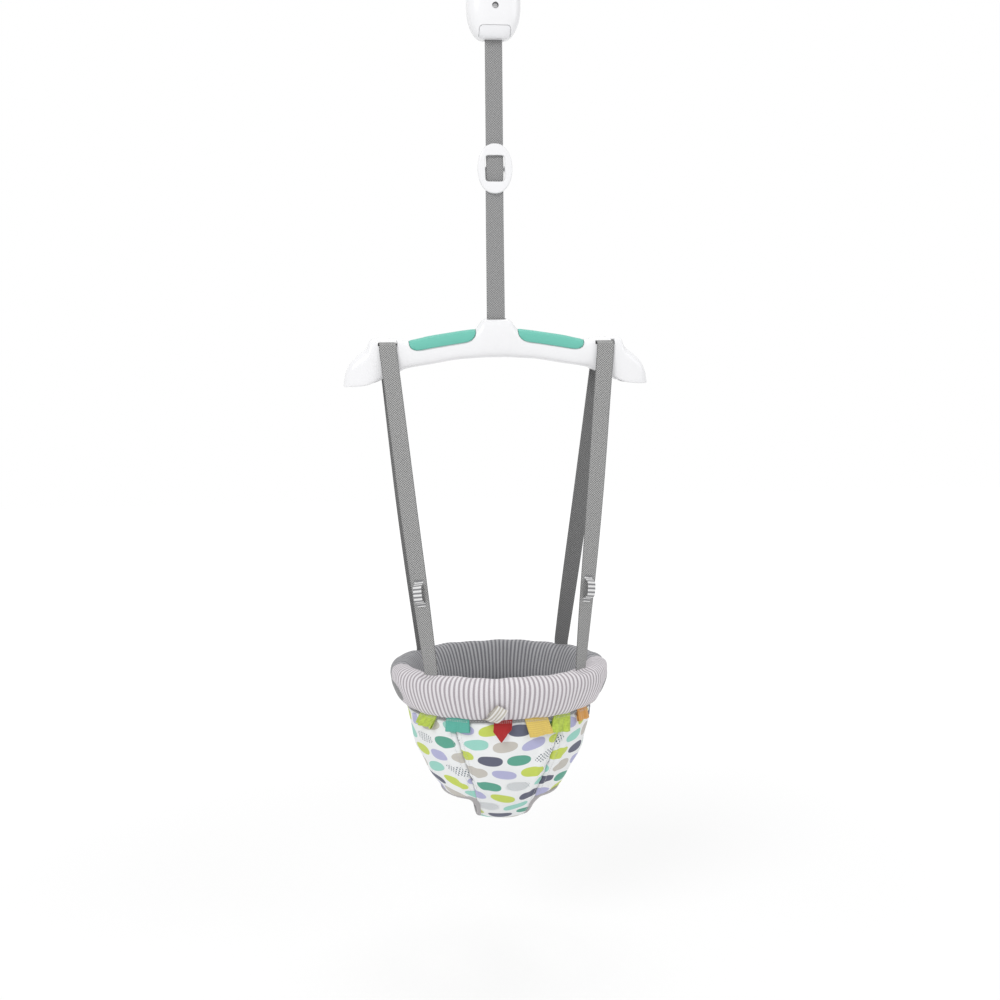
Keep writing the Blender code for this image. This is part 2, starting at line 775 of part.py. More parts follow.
def make_bounce(clamp, plunger, metal, plastic):
    """The compression spring on the housing's floor, its plate and the pin lying across the plate."""
    count = bounce_turns * bounce_turn_points
    low = exit_z + housing_floor + gap + bounce_wire / 2
    high = low + bounce_length - 2 * gap - bounce_wire
    dead = bounce_wire + layer_gap
    active = (high - low - 2 * dead) / (bounce_turns - 2)
    path = []
    for i in range(count + 1):
        turn = i / bounce_turn_points
        z = low + dead * min(turn, 1) + active * min(max(turn - 1, 0), bounce_turns - 2)
        z += dead * max(turn - (bounce_turns - 1), 0)
        path.append(at(bounce_radius * cos(tau * turn), bounce_radius * sin(tau * turn), z))
    add_piece("bounce_spring", wire_curve("bounce_spring", path, bounce_wire / 2), clamp, metal)

    base = exit_z + housing_floor + bounce_length
    boss_radius = bounce_radius * cos(pi / bounce_turn_points) - bounce_wire / 2 - gap
    profile = [(-plate_thickness, boss_radius), (0, boss_radius), (0, plate_radius),
               (plate_thickness, plate_radius)]
    plate = add_piece("spring_plate", turned_mesh(
        "plate", at(z=base), along_z, profile, 32), plunger, plastic)
    half = web_width / 2 + plate_slot_room
    cut(plate, add_guide("plate_slot", box_mesh(
        "plate_slot", (-half, -plate_slot_depth / 2, base - plate_thickness - overrun),
        (half, plate_slot_depth / 2, base + plate_thickness + overrun))))
    chamfer = strap_pin_radius * 0.2
    pin = [(0, strap_pin_radius - chamfer), (chamfer, strap_pin_radius),
           (strap_pin_length - chamfer, strap_pin_radius), (strap_pin_length, strap_pin_radius - chamfer)]
    add_piece("strap_pin", turned_mesh(
        "strap_pin", at(-strap_pin_length / 2, 0, strap_pin_z), along_x, pin, 16), plunger, metal)


def main_strap_path():
    """The webbing's middle line: sewn round the upper pin, down through the exit and the buckle,
    round the roller under the boss, and back up to its sewn end on the buckle's bar."""
    top_wrap = strap_pin_radius + gap + web_thickness / 2
    top = at(z=strap_pin_z)
    path = [at(0, layer_pitch, strap_pin_z - strap_tail), at(0, layer_pitch, strap_pin_z - 3 * top_wrap)]
    path += arc_points(top, along_y, along_z, top_wrap, 0, 180, 6)
    path.append(at(z=strap_pin_z - 3 * top_wrap))
    path.append(at(z=buckle_z))
    roller_wrap = roller_radius + gap + web_thickness / 2
    roller = at(z=roller_z)
    path.append(at(z=buckle_z - buckle_height / 2))
    path += arc_points(roller, along_y, along_z, roller_wrap, 180, 360, 8)
    bar = at(0, buckle_bar_y, buckle_z)
    path.append(bar + at(0, layer_pitch / 2, -4 * buckle_wrap))
    path += arc_points(bar, along_y, along_z, buckle_wrap, -20, 200, 8)
    path.append(bar + at(0, -layer_pitch / 2, -4 * buckle_wrap))
    path.append(bar + at(0, -layer_pitch / 2, -strap_tail))
    return path


def make_buckle(body, plastic):
    """An oval frame before the strap, with its bar set back behind it."""
    front = -(web_thickness / 2 + gap)
    back = front - buckle_thickness
    rings = []
    sides = 32
    for i in range(sides):
        angle = tau * i / sides
        ox, oz = squircle(angle, buckle_width / 2, buckle_height / 2, 2.15)
        wx, wz = squircle(angle, buckle_window_width / 2, buckle_window_height / 2, 7)
        outer = at(ox, 0, oz + buckle_z)
        inner = at(wx, 0, wz + buckle_z)
        inward = (inner - outer).normalized()
        edge = buckle_edge
        rings.append([
            outer + at(y=front), outer + at(y=back + edge * 1.6),
            outer + inward * edge * 0.5 + at(y=back + edge * 0.5),
            outer + inward * edge * 1.6 + at(y=back), inner - inward * edge + at(y=back),
            inner - inward * edge * 0.3 + at(y=back + edge * 0.3),
            inner + at(y=back + edge), inner + at(y=front)])
    frame = add_piece("adjuster_buckle", loft_mesh("buckle", rings, closed=True), body, plastic)
    half = buckle_window_width / 2 + buckle_post_width
    reach = buckle_bar_y + buckle_bar_radius
    for hand in (-1, 1):
        xs = sorted((hand * (half - buckle_post_width), hand * (half + buckle_post_width / 2)))
        join(frame, add_guide("buckle_post", box_mesh(
            "buckle_post", (xs[0], front - buckle_edge, buckle_z - buckle_post_width),
            (xs[1], reach, buckle_z + buckle_post_width))))
    bar = [(0, buckle_bar_radius), (2 * half, buckle_bar_radius)]
    join(frame, add_guide("buckle_bar", turned_mesh(
        "buckle_bar", at(-half, buckle_bar_y, buckle_z), along_x, bar, 14)))


def bar_sizes(share):
    """The bar's top, underside and half depth at a share of its half length, read between stations."""
    for near, far in zip(bar_station_shares, bar_station_shares[1:]):
        if abs(share) <= far[0]:
            break
    t = (abs(share) - near[0]) / (far[0] - near[0])
    top, low, depth = [a + (b - a) * t for a, b in zip(near[1:], far[1:])]
    return boss_z - top * bar_height, boss_z - low * bar_height, depth * bar_half_depth


def bar_ring(share, inset, angles, shift=0.0):
    """Points of the bar's section at the given angles; 90 degrees is the top edge. Towards the wings
    the lower half turns into an upright skirt."""
    top, low, depth = bar_sizes(share)
    middle = (top + low) / 2
    skirt = (abs(share) - skirt_start_share) / (skirt_full_share - skirt_start_share)
    low_power = bar_power + (skirt_power - bar_power) * min(max(skirt, 0), 1)
    ring = []
    for angle in angles:
        power = low_power if sin(angle) < 0 else bar_power
        y, z = squircle(angle, depth - inset, (top - low) / 2 - inset, power)
        ring.append(at(share * bar_half_length + shift, y, middle + z))
    return ring


def full_turn(count):
    return [tau * (i + 0.5) / count for i in range(count)]


def bar_form(name, shares, inset, count):
    return loft_mesh(name, [bar_ring(share, inset, full_turn(count)) for share in shares])


def grip_form(name, hand, outer_inset, inner_inset, grow):
    """A saddle over the bar's top edge; `grow` widens it for the recess that it sits in."""
    rings = []
    steps = 9
    spread = grow / bar_half_depth
    for i in range(steps + 1):
        s = 0.5 - 0.5 * cos(pi * i / steps)
        share = grip_inner_share + (grip_outer_share - grip_inner_share) * s
        shift = hand * grow * (2 * s - 1)
        round_in = sqrt(max(1 - abs(2 * s - 1) ** grip_end_power, 0))
        reach = grip_corner_angle + (grip_reach_angle - grip_corner_angle) * round_in + spread
        angles = [pi / 2 - reach + 2 * reach * j / 8 for j in range(9)]
        ring = bar_ring(hand * share, outer_inset, angles, shift)
        ring += bar_ring(hand * share, inner_inset, reversed(angles), shift)
        rings.append(ring)
    return loft_mesh(name, rings, split=True)


def hollow_form(name, hand):
    """The room inside a wing tip, open at the underside."""
    rings = []
    for i in range(8):
        share = hollow_inner_share + (hollow_outer_share - hollow_inner_share) * i / 7
        ring = bar_ring(hand * share, wall, full_turn(core_points))
        low = bar_sizes(share)[1]
        middle = (low + bar_sizes(share)[0]) / 2
        for point in ring:
            if point.z < middle:
                point.z = low - overrun
        rings.append(ring)
    return loft_mesh(name, rings)


def bar_screw_places():
    places = []
    for share, drop in zip(bar_screw_shares, bar_screw_drop_shares):
        for hand in (-1, 1):
            depth = bar_sizes(share)[2]
            x = hand * share * bar_half_length
            places.append(at(x, depth - bar_screw_sink, boss_z - drop * bar_height))
    return places


def make_bar(bar, roller_body, white, teal, metal, trim):
    """Front and rear shells, soft grips, the strap's roller on its pin, the end pins and screws."""
    shares = sorted({hand * row[0] for row in bar_station_shares for hand in (-1, 1)})
    shells = []
    for name, side in (("bar_front", -1), ("bar_rear", 1)):
        shell = add_piece(name, bar_form(name, shares, 0, bar_section_points), bar, white)
        ys = sorted((side * gap / 2, -side * (bar_half_depth + overrun)))
        room = box_mesh("half", (-bar_half_length - overrun, ys[0], boss_z - bar_height - overrun),
                        (bar_half_length + overrun, ys[1], boss_z + overrun))
        cut(shell, add_guide(f"{name}_other_half", room))
        shells.append(shell)

    tools = []
    for hand in (-1, 1):
        steps = 5
        spread = [hand * (core_inner_share + (core_outer_share - core_inner_share) * i / steps)
                  for i in range(steps + 1)]
        core = add_guide("bar_core", bar_form("core", spread, core_inset, core_points))
        for head in bar_screw_places():
            if head.x * hand > 0:
                start = at(head.x, -bar_half_depth, head.z)
                post = [(0, bar_post_radius), (2 * bar_half_depth, bar_post_radius)]
                cut(core, add_guide("bar_post", turned_mesh("bar_post", start, along_y, post, 8)))
        tools.append(core)
        tools.append(add_guide("wing_hollow", hollow_form("hollow", hand)))
        tools.append(add_guide("grip_recess", grip_form(
            "recess", hand, -overrun / 2, grip_thickness + gap, gap)))
        slot_half = web_width / 2 + slot_room
        depth = bar_half_depth + overrun
        x = hand * slot_out
        tools.append(add_guide("strap_slot", box_mesh(
            "slot", (x - slot_half, -depth, slot_z - slot_height / 2 - slot_swing_room),
            (x + slot_half, depth, slot_z + slot_height / 2))))
        half = end_pin_length / 2 + gap
        tools.append(add_guide("end_pin_hole", turned_mesh(
            "end_pin_hole", at(x - half, 0, end_pin_z), along_x,
            [(0, end_pin_radius + gap), (2 * half, end_pin_radius + gap)], 10)))
    bay_half = web_width / 2 + boss_slot_room
    bay_low = roller_z - roller_radius - gap - web_thickness - boss_slot_room
    tools.append(add_guide("roller_bay", box_mesh(
        "bay", (-bay_half, -boss_slot_half_depth, bay_low),
        (bay_half, boss_slot_half_depth, boss_z + overrun))))
    half = roller_pin_length / 2 + gap
    tools.append(add_guide("roller_pin_hole", turned_mesh(
        "roller_pin_hole", at(-half, 0, roller_z), along_x,
        [(0, roller_pin_radius + gap), (2 * half, roller_pin_radius + gap)], 12)))
    for number, head in enumerate(bar_screw_places(), 1):
        name = f"bar_screw_{number}"
        add_piece(name, loft_mesh(name, screw_rings(head, -along_y, bar_screw_length)), bar, metal)
        tools.append(screw_hole("bar_screw_hole", head, -along_y, bar_screw_length))
    for shell in shells:
        cut(shell, *tools)

    for name, hand in (("left_grip", -1), ("right_grip", 1)):
        add_piece(name, grip_form(name, hand, -grip_proud, grip_thickness, 0), bar, teal)
    half = roller_pin_length / 2
    add_piece("roller_pin", turned_mesh(
        "roller_pin", at(-half, 0, roller_z), along_x,
        [(0, roller_pin_radius), (2 * half, roller_pin_radius)], 12), bar, metal)
    for name, hand in (("left_end_pin", -1), ("right_end_pin", 1)):
        start = at(hand * slot_out - end_pin_length / 2, 0, end_pin_z)
        profile = [(0, end_pin_radius), (end_pin_length, end_pin_radius)]
        add_piece(name, turned_mesh(name, start, along_x, profile, 10), bar, metal)
    start = at(-roller_length / 2, 0, roller_z)
    drum = [(0, roller_radius), (roller_length, roller_radius)]
    roller = add_piece("strap_roller", turned_mesh("roller", start, along_x, drum, 20), roller_body, trim)
    bore = [(-overrun, roller_pin_radius + gap), (roller_length + overrun, roller_pin_radius + gap)]
    cut(roller, add_guide("roller_bore", turned_mesh("roller_bore", start, along_x, bore, 16)))


def strap_seat(hand, side):
    """Where a side strap goes round the hoop: the place, the ring's direction and its outward one."""
    turn = atan2(strap_seat_back / hoop_half_depth, strap_seat_across / hoop_half_width)
    place = at(hand * hoop_half_width * cos(turn), side * hoop_half_depth * sin(turn), hoop_z)
    along = at(hoop_half_width * sin(turn), -hand * side * hoop_half_depth * cos(turn)).normalized()
    outward = at(hand * cos(turn) / hoop_half_width, side * sin(turn) / hoop_half_depth).normalized()
    return place, along, outward


def strap_leg(hand, side):
    """One leg of a side strap, from the top of its pin to its sewn end, with its width's direction."""
    face = bar_sizes(slot_out / bar_half_length)[2]
    clear = face + strap_clear + web_thickness / 2
    x = hand * slot_out
    bend = [at(x, 0, slot_z), at(x, side * face * 0.5, slot_z),
            at(x, side * face * 0.9, slot_z - strap_lip_drop * 0.14),
            at(x, side * clear * 0.985, slot_z - strap_lip_drop * 0.45),
            at(x, side * clear, slot_z - strap_lip_drop)]
    place, ring_along, outward = strap_seat(hand, side)
    lip = bend[-1]
    height = strap_turn_height_share * hoop_wrap
    foot = place + outward * (layer_pitch / 2) + along_z * height
    path = smooth_path(bend, 2)
    across = [along_x] * len(path)
    for i in range(1, strap_leg_steps + 1):
        s = i / strap_leg_steps
        path.append(lip.lerp(foot, s))
        across.append(along_x.lerp(ring_along, s * s))
    wrap = arc_points(place, outward, along_z, hoop_wrap, 30, -210, 8)
    inner = place - outward * (layer_pitch / 2)
    path += wrap + [inner + along_z * height, inner + along_z * strap_seat_tail]
    across += [ring_along] * (len(wrap) + 2)
    return path, across, (lip, foot, ring_along)


def make_side_strap(name, hand, body, material):
    """Webbing from the ring's front, over the bar's end pin, to the ring's rear."""
    front, front_across, _ = strap_leg(hand, -1)
    rear, rear_across, _ = strap_leg(hand, 1)
    path = front[::-1] + rear[1:]
    across = front_across[::-1] + rear_across[1:]
    add_piece(name, band_mesh(name, path, across, web_width, web_thickness), body, material)


def make_toy_loop(name, hand, body, material):
    """A striped ribbon sewn to the front leg at both ends, standing off it between them."""
    lip, foot, ring_along = strap_leg(hand, -1)[2]
    along = (foot - lip).normalized()
    base = web_thickness / 2 + toy_loop_room + toy_loop_thickness / 2
    height = toy_loop_height
    rise = [(0, 0), (toy_loop_end, 0), (toy_loop_end + height * 0.06, toy_loop_stand * 0.55),
            (height * 0.32, toy_loop_stand)]
    profile = rise + [(height - down, out) for down, out in reversed(rise)]
    path = []
    across = []
    for down, out in profile:
        s = toy_loop_share + down / (foot - lip).length
        side = along_x.lerp(ring_along, s * s)
        side = (side - along * side.dot(along)).normalized()
        face = along.cross(side)
        face *= -copysign(1, face.y)
        path.append(lip.lerp(foot, s) + face * (base + out))
        across.append(side)
    add_piece(name, band_mesh(name, path, across, toy_loop_width, toy_loop_thickness), body, material)


def ring_place(turn, out, up):
    """A point beside the ring's middle line; turn is counted from +X, seen from above."""
    return at((ring_half_width + out) * cos(turn), (ring_half_depth + out) * sin(turn), ring_z + up)


def pad_offset(angle, grow=0.0):
    """A point of the leaning pad's section: 0 faces outwards, 90 degrees is its top."""
    thick, tall = squircle(angle, ring_pad_thickness / 2 + grow, ring_pad_height / 2 + grow, ring_power)
    return (thick * cos(ring_lean) + tall * sin(ring_lean), tall * cos(ring_lean) - thick * sin(ring_lean))


def pad_foot():
    """The lowest point of the pad's section, which the binding and the pouch hang from."""
    return min((pad_offset(tau * i / ring_section_points) for i in range(ring_section_points)),
               key=lambda offset: offset[1])


def ring_tube(name, half_width, half_depth, z, radius, sides):
    path = []
    for i in range(ring_steps):
        turn = tau * i / ring_steps
        path.append(at(half_width * cos(turn), half_depth * sin(turn), z))
    return loft_mesh(name, tube_rings(path, radius, sides, closed=True), closed=True)


def make_ring(body, striped, heather, grey, plastic):
    """The hoop, the two pads round it with slits for the straps, the side patches and the binding."""
    channel_radius = hoop_wrap + web_thickness / 2 + hoop_room
    add_piece("seat_hoop", ring_tube(
        "hoop", hoop_half_width, hoop_half_depth, hoop_z, hoop_radius, hoop_sides), body, plastic)
    channel = add_guide("hoop_channel", ring_tube(
        "channel", hoop_half_width, hoop_half_depth, hoop_z, channel_radius, channel_sides))
    for name, side, material in (("front_pad", -1, striped), ("rear_pad", 1, heather)):
        rings = []
        steps = ring_steps // 2
        for i in range(steps + 1):
            turn = side * pi * i / steps
            if i == 0:
                turn += side * ring_end_gap_angle
            if i == steps:
                turn -= side * ring_end_gap_angle
            rings.append([ring_place(turn, *pad_offset(tau * j / ring_section_points))
                          for j in range(ring_section_points)])
        pad = add_piece(name, loft_mesh(name, rings), body, material, smooth_angle=60)
        cut(pad, channel)
        for hand in (-1, 1):
            place, along, outward = strap_seat(hand, side)
            half = web_width / 2 + slit_room
            deep = channel_radius * 0.75
            rings = []
            for z in (0, ring_pad_height):
                rings.append([place + along * u + outward * v + along_z * z
                              for u, v in ((-half, -deep), (half, -deep), (half, deep), (-half, deep))])
            cut(pad, add_guide("strap_slit", loft_mesh("slit", rings)))

    patch_turn = tau / ring_steps
    for name, middle in (("left_patch", pi + patch_turn), ("right_patch", -patch_turn)):
        shape = bmesh.new()
        layers = []
        for grow in (2 * gap, 2 * gap + patch_thickness):
            centre = shape.verts.new(ring_place(middle, *pad_offset(0, grow)))
            rows = []
            for i in range(1, patch_rings + 1):
                row = []
                for j in range(patch_sides):
                    angle = tau * j / patch_sides
                    turn = middle + patch_half_width / ring_half_depth * i / patch_rings * cos(angle)
                    tall = patch_half_height * i / patch_rings * sin(angle)
                    section = copysign(asin_of_height(abs(tall) / (ring_pad_height / 2)), tall)
                    row.append(shape.verts.new(ring_place(turn, *pad_offset(section, grow))))
                rows.append(row)
            for j in range(patch_sides):
                k = (j + 1) % patch_sides
                shape.faces.new((centre, rows[0][j], rows[0][k]))
                for near, far in zip(rows, rows[1:]):
                    shape.faces.new((near[j], far[j], far[k], near[k]))
            layers.append(rows[-1])
        for j in range(patch_sides):
            k = (j + 1) % patch_sides
            shape.faces.new((layers[0][j], layers[0][k], layers[1][k], layers[1][j]))
        add_piece(name, finish_mesh(name, shape), body, grey)

    foot_out, foot_up = pad_foot()
    add_piece("seat_binding", ring_tube(
        "binding", ring_half_width + foot_out, ring_half_depth + foot_out,
        ring_z + foot_up - gap - binding_radius, binding_radius, leg_binding_sides), body, grey)


def asin_of_height(share):
    """The section angle at which the pad's superellipse reaches a share of its half height."""
    reach = min(share, 1) ** (ring_power / 2)
    return atan2(reach, sqrt(max(1 - reach ** 2, 0)))


def pouch_sizes():
    foot_out, foot_up = pad_foot()
    top = ring_z + foot_up - 2 * gap - 2 * binding_radius
    return ring_half_width + foot_out, ring_half_depth + foot_out, top


def pouch_place(x, slope):
    """A point of the pouch: slope is 0 at its bottom and 90 degrees at its rim."""
    half_width, half_depth, top = pouch_sizes()
    room = sqrt(1 - (x / half_width) ** 2)
    depth = max(room * cos(slope), 0) ** (2 / pouch_power)
    return at(x, half_depth * room * sin(slope), top - pouch_drop * depth)


def panel_half(slope):
    """Half the width of the middle panels, widest at the rim and narrowest at the crotch."""
    return crotch_half_width + (panel_top_half_width - crotch_half_width) * abs(sin(slope)) ** panel_power


def level_place(level, turn_share, edge):
    """A point of a side panel at a depth share, between the seams where x is `edge`."""
    half_width, half_depth, top = pouch_sizes()
    shrink = sqrt(1 - level ** pouch_power)
    turn = acos(edge / (half_width * shrink)) * turn_share
    return at(half_width * shrink * cos(turn), half_depth * shrink * sin(turn), top - pouch_drop * level)


def pouch_level(x, slope):
    half_width = pouch_sizes()[0]
    room = sqrt(1 - (x / half_width) ** 2)
    return max(room * cos(slope), 0) ** (2 / pouch_power)


def make_pouch(body, cloth, grey):
    """Front, rear and crotch panels, side panels down to the leg openings, and the openings' binding."""
    upper = [pi / 2 + (leg_angle - pi / 2) * i / side_rows for i in range(side_rows + 1)]
    lower = [leg_angle + (crotch_angle - leg_angle) * (i + 1) / lower_rows for i in range(lower_rows)]
    for name, side in (("pouch_front", -1), ("pouch_rear", 1)):
        rows = []
        for slope in upper + lower:
            half = panel_half(slope) - seam_gap / 2
            rows.append([pouch_place(half * (2 * j / panel_columns - 1), side * slope)
                         for j in range(panel_columns + 1)])
        add_piece(name, sheet_mesh(name, rows, cloth_thickness), body, cloth, smooth_angle=60)
    rows = []
    trim_angle = seam_gap / pouch_sizes()[1]
    for i in range(crotch_rows + 1):
        slope = (crotch_angle - trim_angle) * (2 * i / crotch_rows - 1)
        half = panel_half(slope) - seam_gap / 2
        rows.append([pouch_place(half * (2 * j / panel_columns - 1), slope)
                     for j in range(panel_columns + 1)])
    crotch = sheet_mesh("pouch_crotch", rows, cloth_thickness)
    add_piece("pouch_crotch", crotch, body, cloth, smooth_angle=60)

    for name, binding_name, hand in (("pouch_left", "left_leg_binding", -1),
                                     ("pouch_right", "right_leg_binding", 1)):
        rows = []
        for slope in upper:
            edge = panel_half(slope) + seam_gap / 2
            level = pouch_level(edge, slope)
            row = [level_place(level, 2 * j / side_columns - 1, edge) for j in range(side_columns + 1)]
            rows.append([at(hand * point.x, point.y, point.z) for point in row])
        add_piece(name, sheet_mesh(name, rows, cloth_thickness), body, cloth, smooth_angle=60)
        clear = binding_radius + cloth_thickness / 2
        loop = []
        reach = leg_angle - binding_tuck_angle
        for i in range(9):
            slope = reach * (i / 4 - 1)
            loop.append(pouch_place(panel_half(slope) + clear, slope))
        edge = panel_half(leg_angle) + clear
        level = pouch_level(edge, leg_angle) + 1.2 * clear / pouch_drop
        for i in range(9):
            loop.append(level_place(level, 0.93 * (1 - i / 4), edge))
        loop = [at(hand * point.x, point.y, point.z) for point in loop]
        path = smooth_path(loop, 2, closed=True)
        rings = tube_rings(path, binding_radius, leg_binding_sides, closed=True)
        add_piece(binding_name, loft_mesh(binding_name, rings, closed=True), body, grey)


def make_tags(body, cloths):
    """Ribbons folded flat and sewn under the ring's front edge, one of them turned up on the pad."""
    foot_out, foot_up = pad_foot()
    out = foot_out + binding_radius + 3 * gap + tag_thickness / 2
    for name, degrees, width_share, length_share, colour in tag_shares:
        middle = radians(degrees - 90)
        spread = tag_width * width_share / ring_half_depth
        rows = []
        for i in range(tag_rows + 1):
            down = tag_length * length_share * i / tag_rows
            curl = tag_curl * (i / tag_rows) ** 2
            turns = [middle + spread * (j / (tag_columns - 1) - 0.5) for j in range(tag_columns)]
            rows.append([ring_place(turn, out + curl, foot_up - gap - down) for turn in turns])
        add_piece(name, sheet_mesh(name, rows, tag_thickness), body, cloths[colour])
    rows = []
    for section in folded_tag_sections:
        offset = pad_offset(tau * section / ring_section_points, 2 * gap + tag_thickness / 2)
        rows.append([ring_place(-pi / 2 + tau * step / ring_steps, *offset) for step in folded_tag_steps])
    add_piece("tag_cream", sheet_mesh("tag_cream", rows, tag_thickness), body, cloths["cream"])


def main():
    clear_scene()
    white = make_material("white_plastic", (0.90, 0.90, 0.91), 0.28)
    trim = make_material("white_trim", (0.86, 0.86, 0.88), 0.35)
    teal = make_material("teal_grip", (0.10, 0.62, 0.50), 0.55)
    rubber = make_material("jaw_rubber", (0.10, 0.55, 0.46), 0.75)
    steel = make_material("steel", (0.62, 0.62, 0.64), 0.32, 1.0)
    plastic = make_material("grey_plastic", (0.35, 0.36, 0.38), 0.5)
    webbing = make_material("webbing", (0.25, 0.25, 0.26), 0.85)
    striped = make_material("striped_cloth", (0.72, 0.70, 0.74), 0.9)
    heather = make_material("heather_cloth", (0.35, 0.35, 0.37), 0.92)
    grey = make_material("grey_cloth", (0.28, 0.29, 0.30), 0.9)
    pouch_cloth = make_material("pouch_cloth", (0.80, 0.84, 0.84), 0.9)
    cloths = {name: make_material(f"{name}_ribbon", colour, 0.85) for name, colour in (
        ("lime", (0.52, 0.62, 0.08)), ("teal", (0.08, 0.46, 0.38)), ("red", (0.55, 0.02, 0.02)),
        ("yellow", (0.80, 0.55, 0.10)), ("orange", (0.80, 0.32, 0.05)), ("cream", (0.75, 0.72, 0.66)))}

    clamp = make_body("clamp", None, at())
    jaw_pin = at(z=jaw_pin_z)
    front_jaw = make_body("front_jaw", clamp, jaw_pin)
    rear_jaw = make_body("rear_jaw", clamp, jaw_pin)
    plunger = make_body("plunger", clamp, at(z=strap_pin_z))
    strap = make_body("strap", plunger, at(z=exit_z))
    buckle = make_body("buckle", strap, at(z=buckle_z))
    roller = make_body("roller", buckle, at(z=roller_z))
    bar = make_body("bar", roller, at(z=roller_z))
    seat = make_body("seat", bar, at(z=end_pin_z))

    make_jaw("front_jaw", -1, front_knuckle_x, front_jaw, white, rubber)
    make_jaw("rear_jaw", 1, rear_knuckle_x, rear_jaw, white, rubber)
    make_jaw_pin(clamp, steel)
    make_jaw_spring(clamp, steel)
    make_housing(clamp, white, trim, steel)
    make_bounce(clamp, plunger, steel, plastic)
    add_piece("main_strap", band_mesh(
        "main_strap", main_strap_path(), along_x, web_width, web_thickness), strap, webbing)
    make_buckle(buckle, white)
    make_bar(bar, roller, white, teal, steel, trim)
    make_side_strap("left_strap", -1, seat, webbing)
    make_side_strap("right_strap", 1, seat, webbing)
    make_toy_loop("left_toy_loop", -1, seat, striped)
    make_toy_loop("right_toy_loop", 1, seat, striped)
    make_ring(seat, striped, heather, grey, plastic)
    make_pouch(seat, pouch_cloth, grey)
    make_tags(seat, cloths)


main()
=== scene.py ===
"""The looks of a baby doorway jumper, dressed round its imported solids. Metres, +Z up, front at -Y."""
from math import acos, atan2, copysign, cos, pi, radians, sin, sqrt, tau

import bmesh
import bpy
import numpy as np
from mathutils import Matrix, Vector


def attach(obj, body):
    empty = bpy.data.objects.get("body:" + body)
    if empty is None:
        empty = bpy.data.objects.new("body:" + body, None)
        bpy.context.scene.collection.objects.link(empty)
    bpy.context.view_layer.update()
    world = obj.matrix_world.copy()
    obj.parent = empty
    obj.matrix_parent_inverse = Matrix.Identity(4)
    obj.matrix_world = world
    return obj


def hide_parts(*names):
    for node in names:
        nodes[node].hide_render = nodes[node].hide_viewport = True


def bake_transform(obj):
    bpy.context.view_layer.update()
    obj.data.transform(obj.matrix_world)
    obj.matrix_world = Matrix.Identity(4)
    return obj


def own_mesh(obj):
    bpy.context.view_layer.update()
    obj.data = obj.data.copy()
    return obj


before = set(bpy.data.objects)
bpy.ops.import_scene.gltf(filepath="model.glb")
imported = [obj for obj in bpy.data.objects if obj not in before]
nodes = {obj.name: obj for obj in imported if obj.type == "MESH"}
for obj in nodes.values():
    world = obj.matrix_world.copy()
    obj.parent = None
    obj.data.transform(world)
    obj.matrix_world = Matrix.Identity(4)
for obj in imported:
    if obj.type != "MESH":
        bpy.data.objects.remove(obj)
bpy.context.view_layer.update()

# Sizes: those of the solids repeated, and the looks' own
gap = 0.0003
overrun = 0.006
wall = 0.0025
thread_radius = 0.00028
thread_lift = 0.0001
web_stitch = (0.0034, 0.0022)
loop_stitch = (0.0025, 0.0017)
ring_stitch = (0.0042, 0.0027)
seam_stitch = (0.0036, 0.0023)
tag_stitch = (0.0028, 0.0018)
web_width = 0.025
web_thickness = 0.0016
layer_gap = 0.0004
layer_pitch = web_thickness + layer_gap

jaw_opening = 0.100
pad_width = 0.060
pad_height = 0.030
pad_thickness = 0.010
pad_power = 5
pad_bevel = 0.0015
pad_groove_depth = 0.0015
pad_groove_height = 0.002
pad_groove_pitch = 0.006
pad_plate_thickness = 0.004
pad_plate_bevel = 0.0008
pad_plate_bite = 0.00075
jaw_pin_z = -0.112
jaw_reach = 0.088
jaw_path_shares = [(0.16, 0.10), (0.42, 0.20), (0.76, 0.40), (0.96, 0.64), (1.0, 0.82), (0.95, 0.955)]
arm_width = 0.043
arm_web = 0.004
arm_flange = 0.0075
arm_flange_wall = 0.003
knuckle_radius = 0.008
knuckle_edge = 0.0006
knuckle_width = 0.0056
front_knuckle_x = 0.0188
rear_knuckle_x = 0.0124
jaw_pin_radius = 0.003
coil_points = 28
jaw_spring_wire = 0.0014
jaw_spring_radius = 0.0055
jaw_spring_turns = 5.5
jaw_spring_length = 0.0145
jaw_spring_leg_share = 0.16

housing_width = 0.076
housing_depth = 0.056
housing_height = 0.138
housing_round = 0.045
housing_foot_width = 0.032
housing_foot_depth = 0.026
housing_top_round = 0.008
housing_power = 3.6
housing_floor = 0.014
housing_top_z = -0.127
exit_z = -0.265
ear_thickness = 0.005
ear_depth = 0.016
ear_sink = 0.002
cover_width = 0.044
cover_height = 0.0165
cover_corner = 0.0045
cover_thickness = 0.0018
cover_room = 0.0005
cover_sink = 0.0002
guide_wall = 0.0014
guide_room = 0.0008
screw_head_radius = 0.0042
screw_head_height = 0.0022
screw_radius = 0.0016
screw_length = 0.013
screw_sink = 0.003
front_screw_rise = 0.043
front_screw_length = 0.006
rear_screw_x = 0.0245
rear_screw_y = 0.0085
post_radius = 0.0058
rear_screw_rises = (front_screw_rise - 2 * post_radius - 0.0017, 0.84 * housing_height)

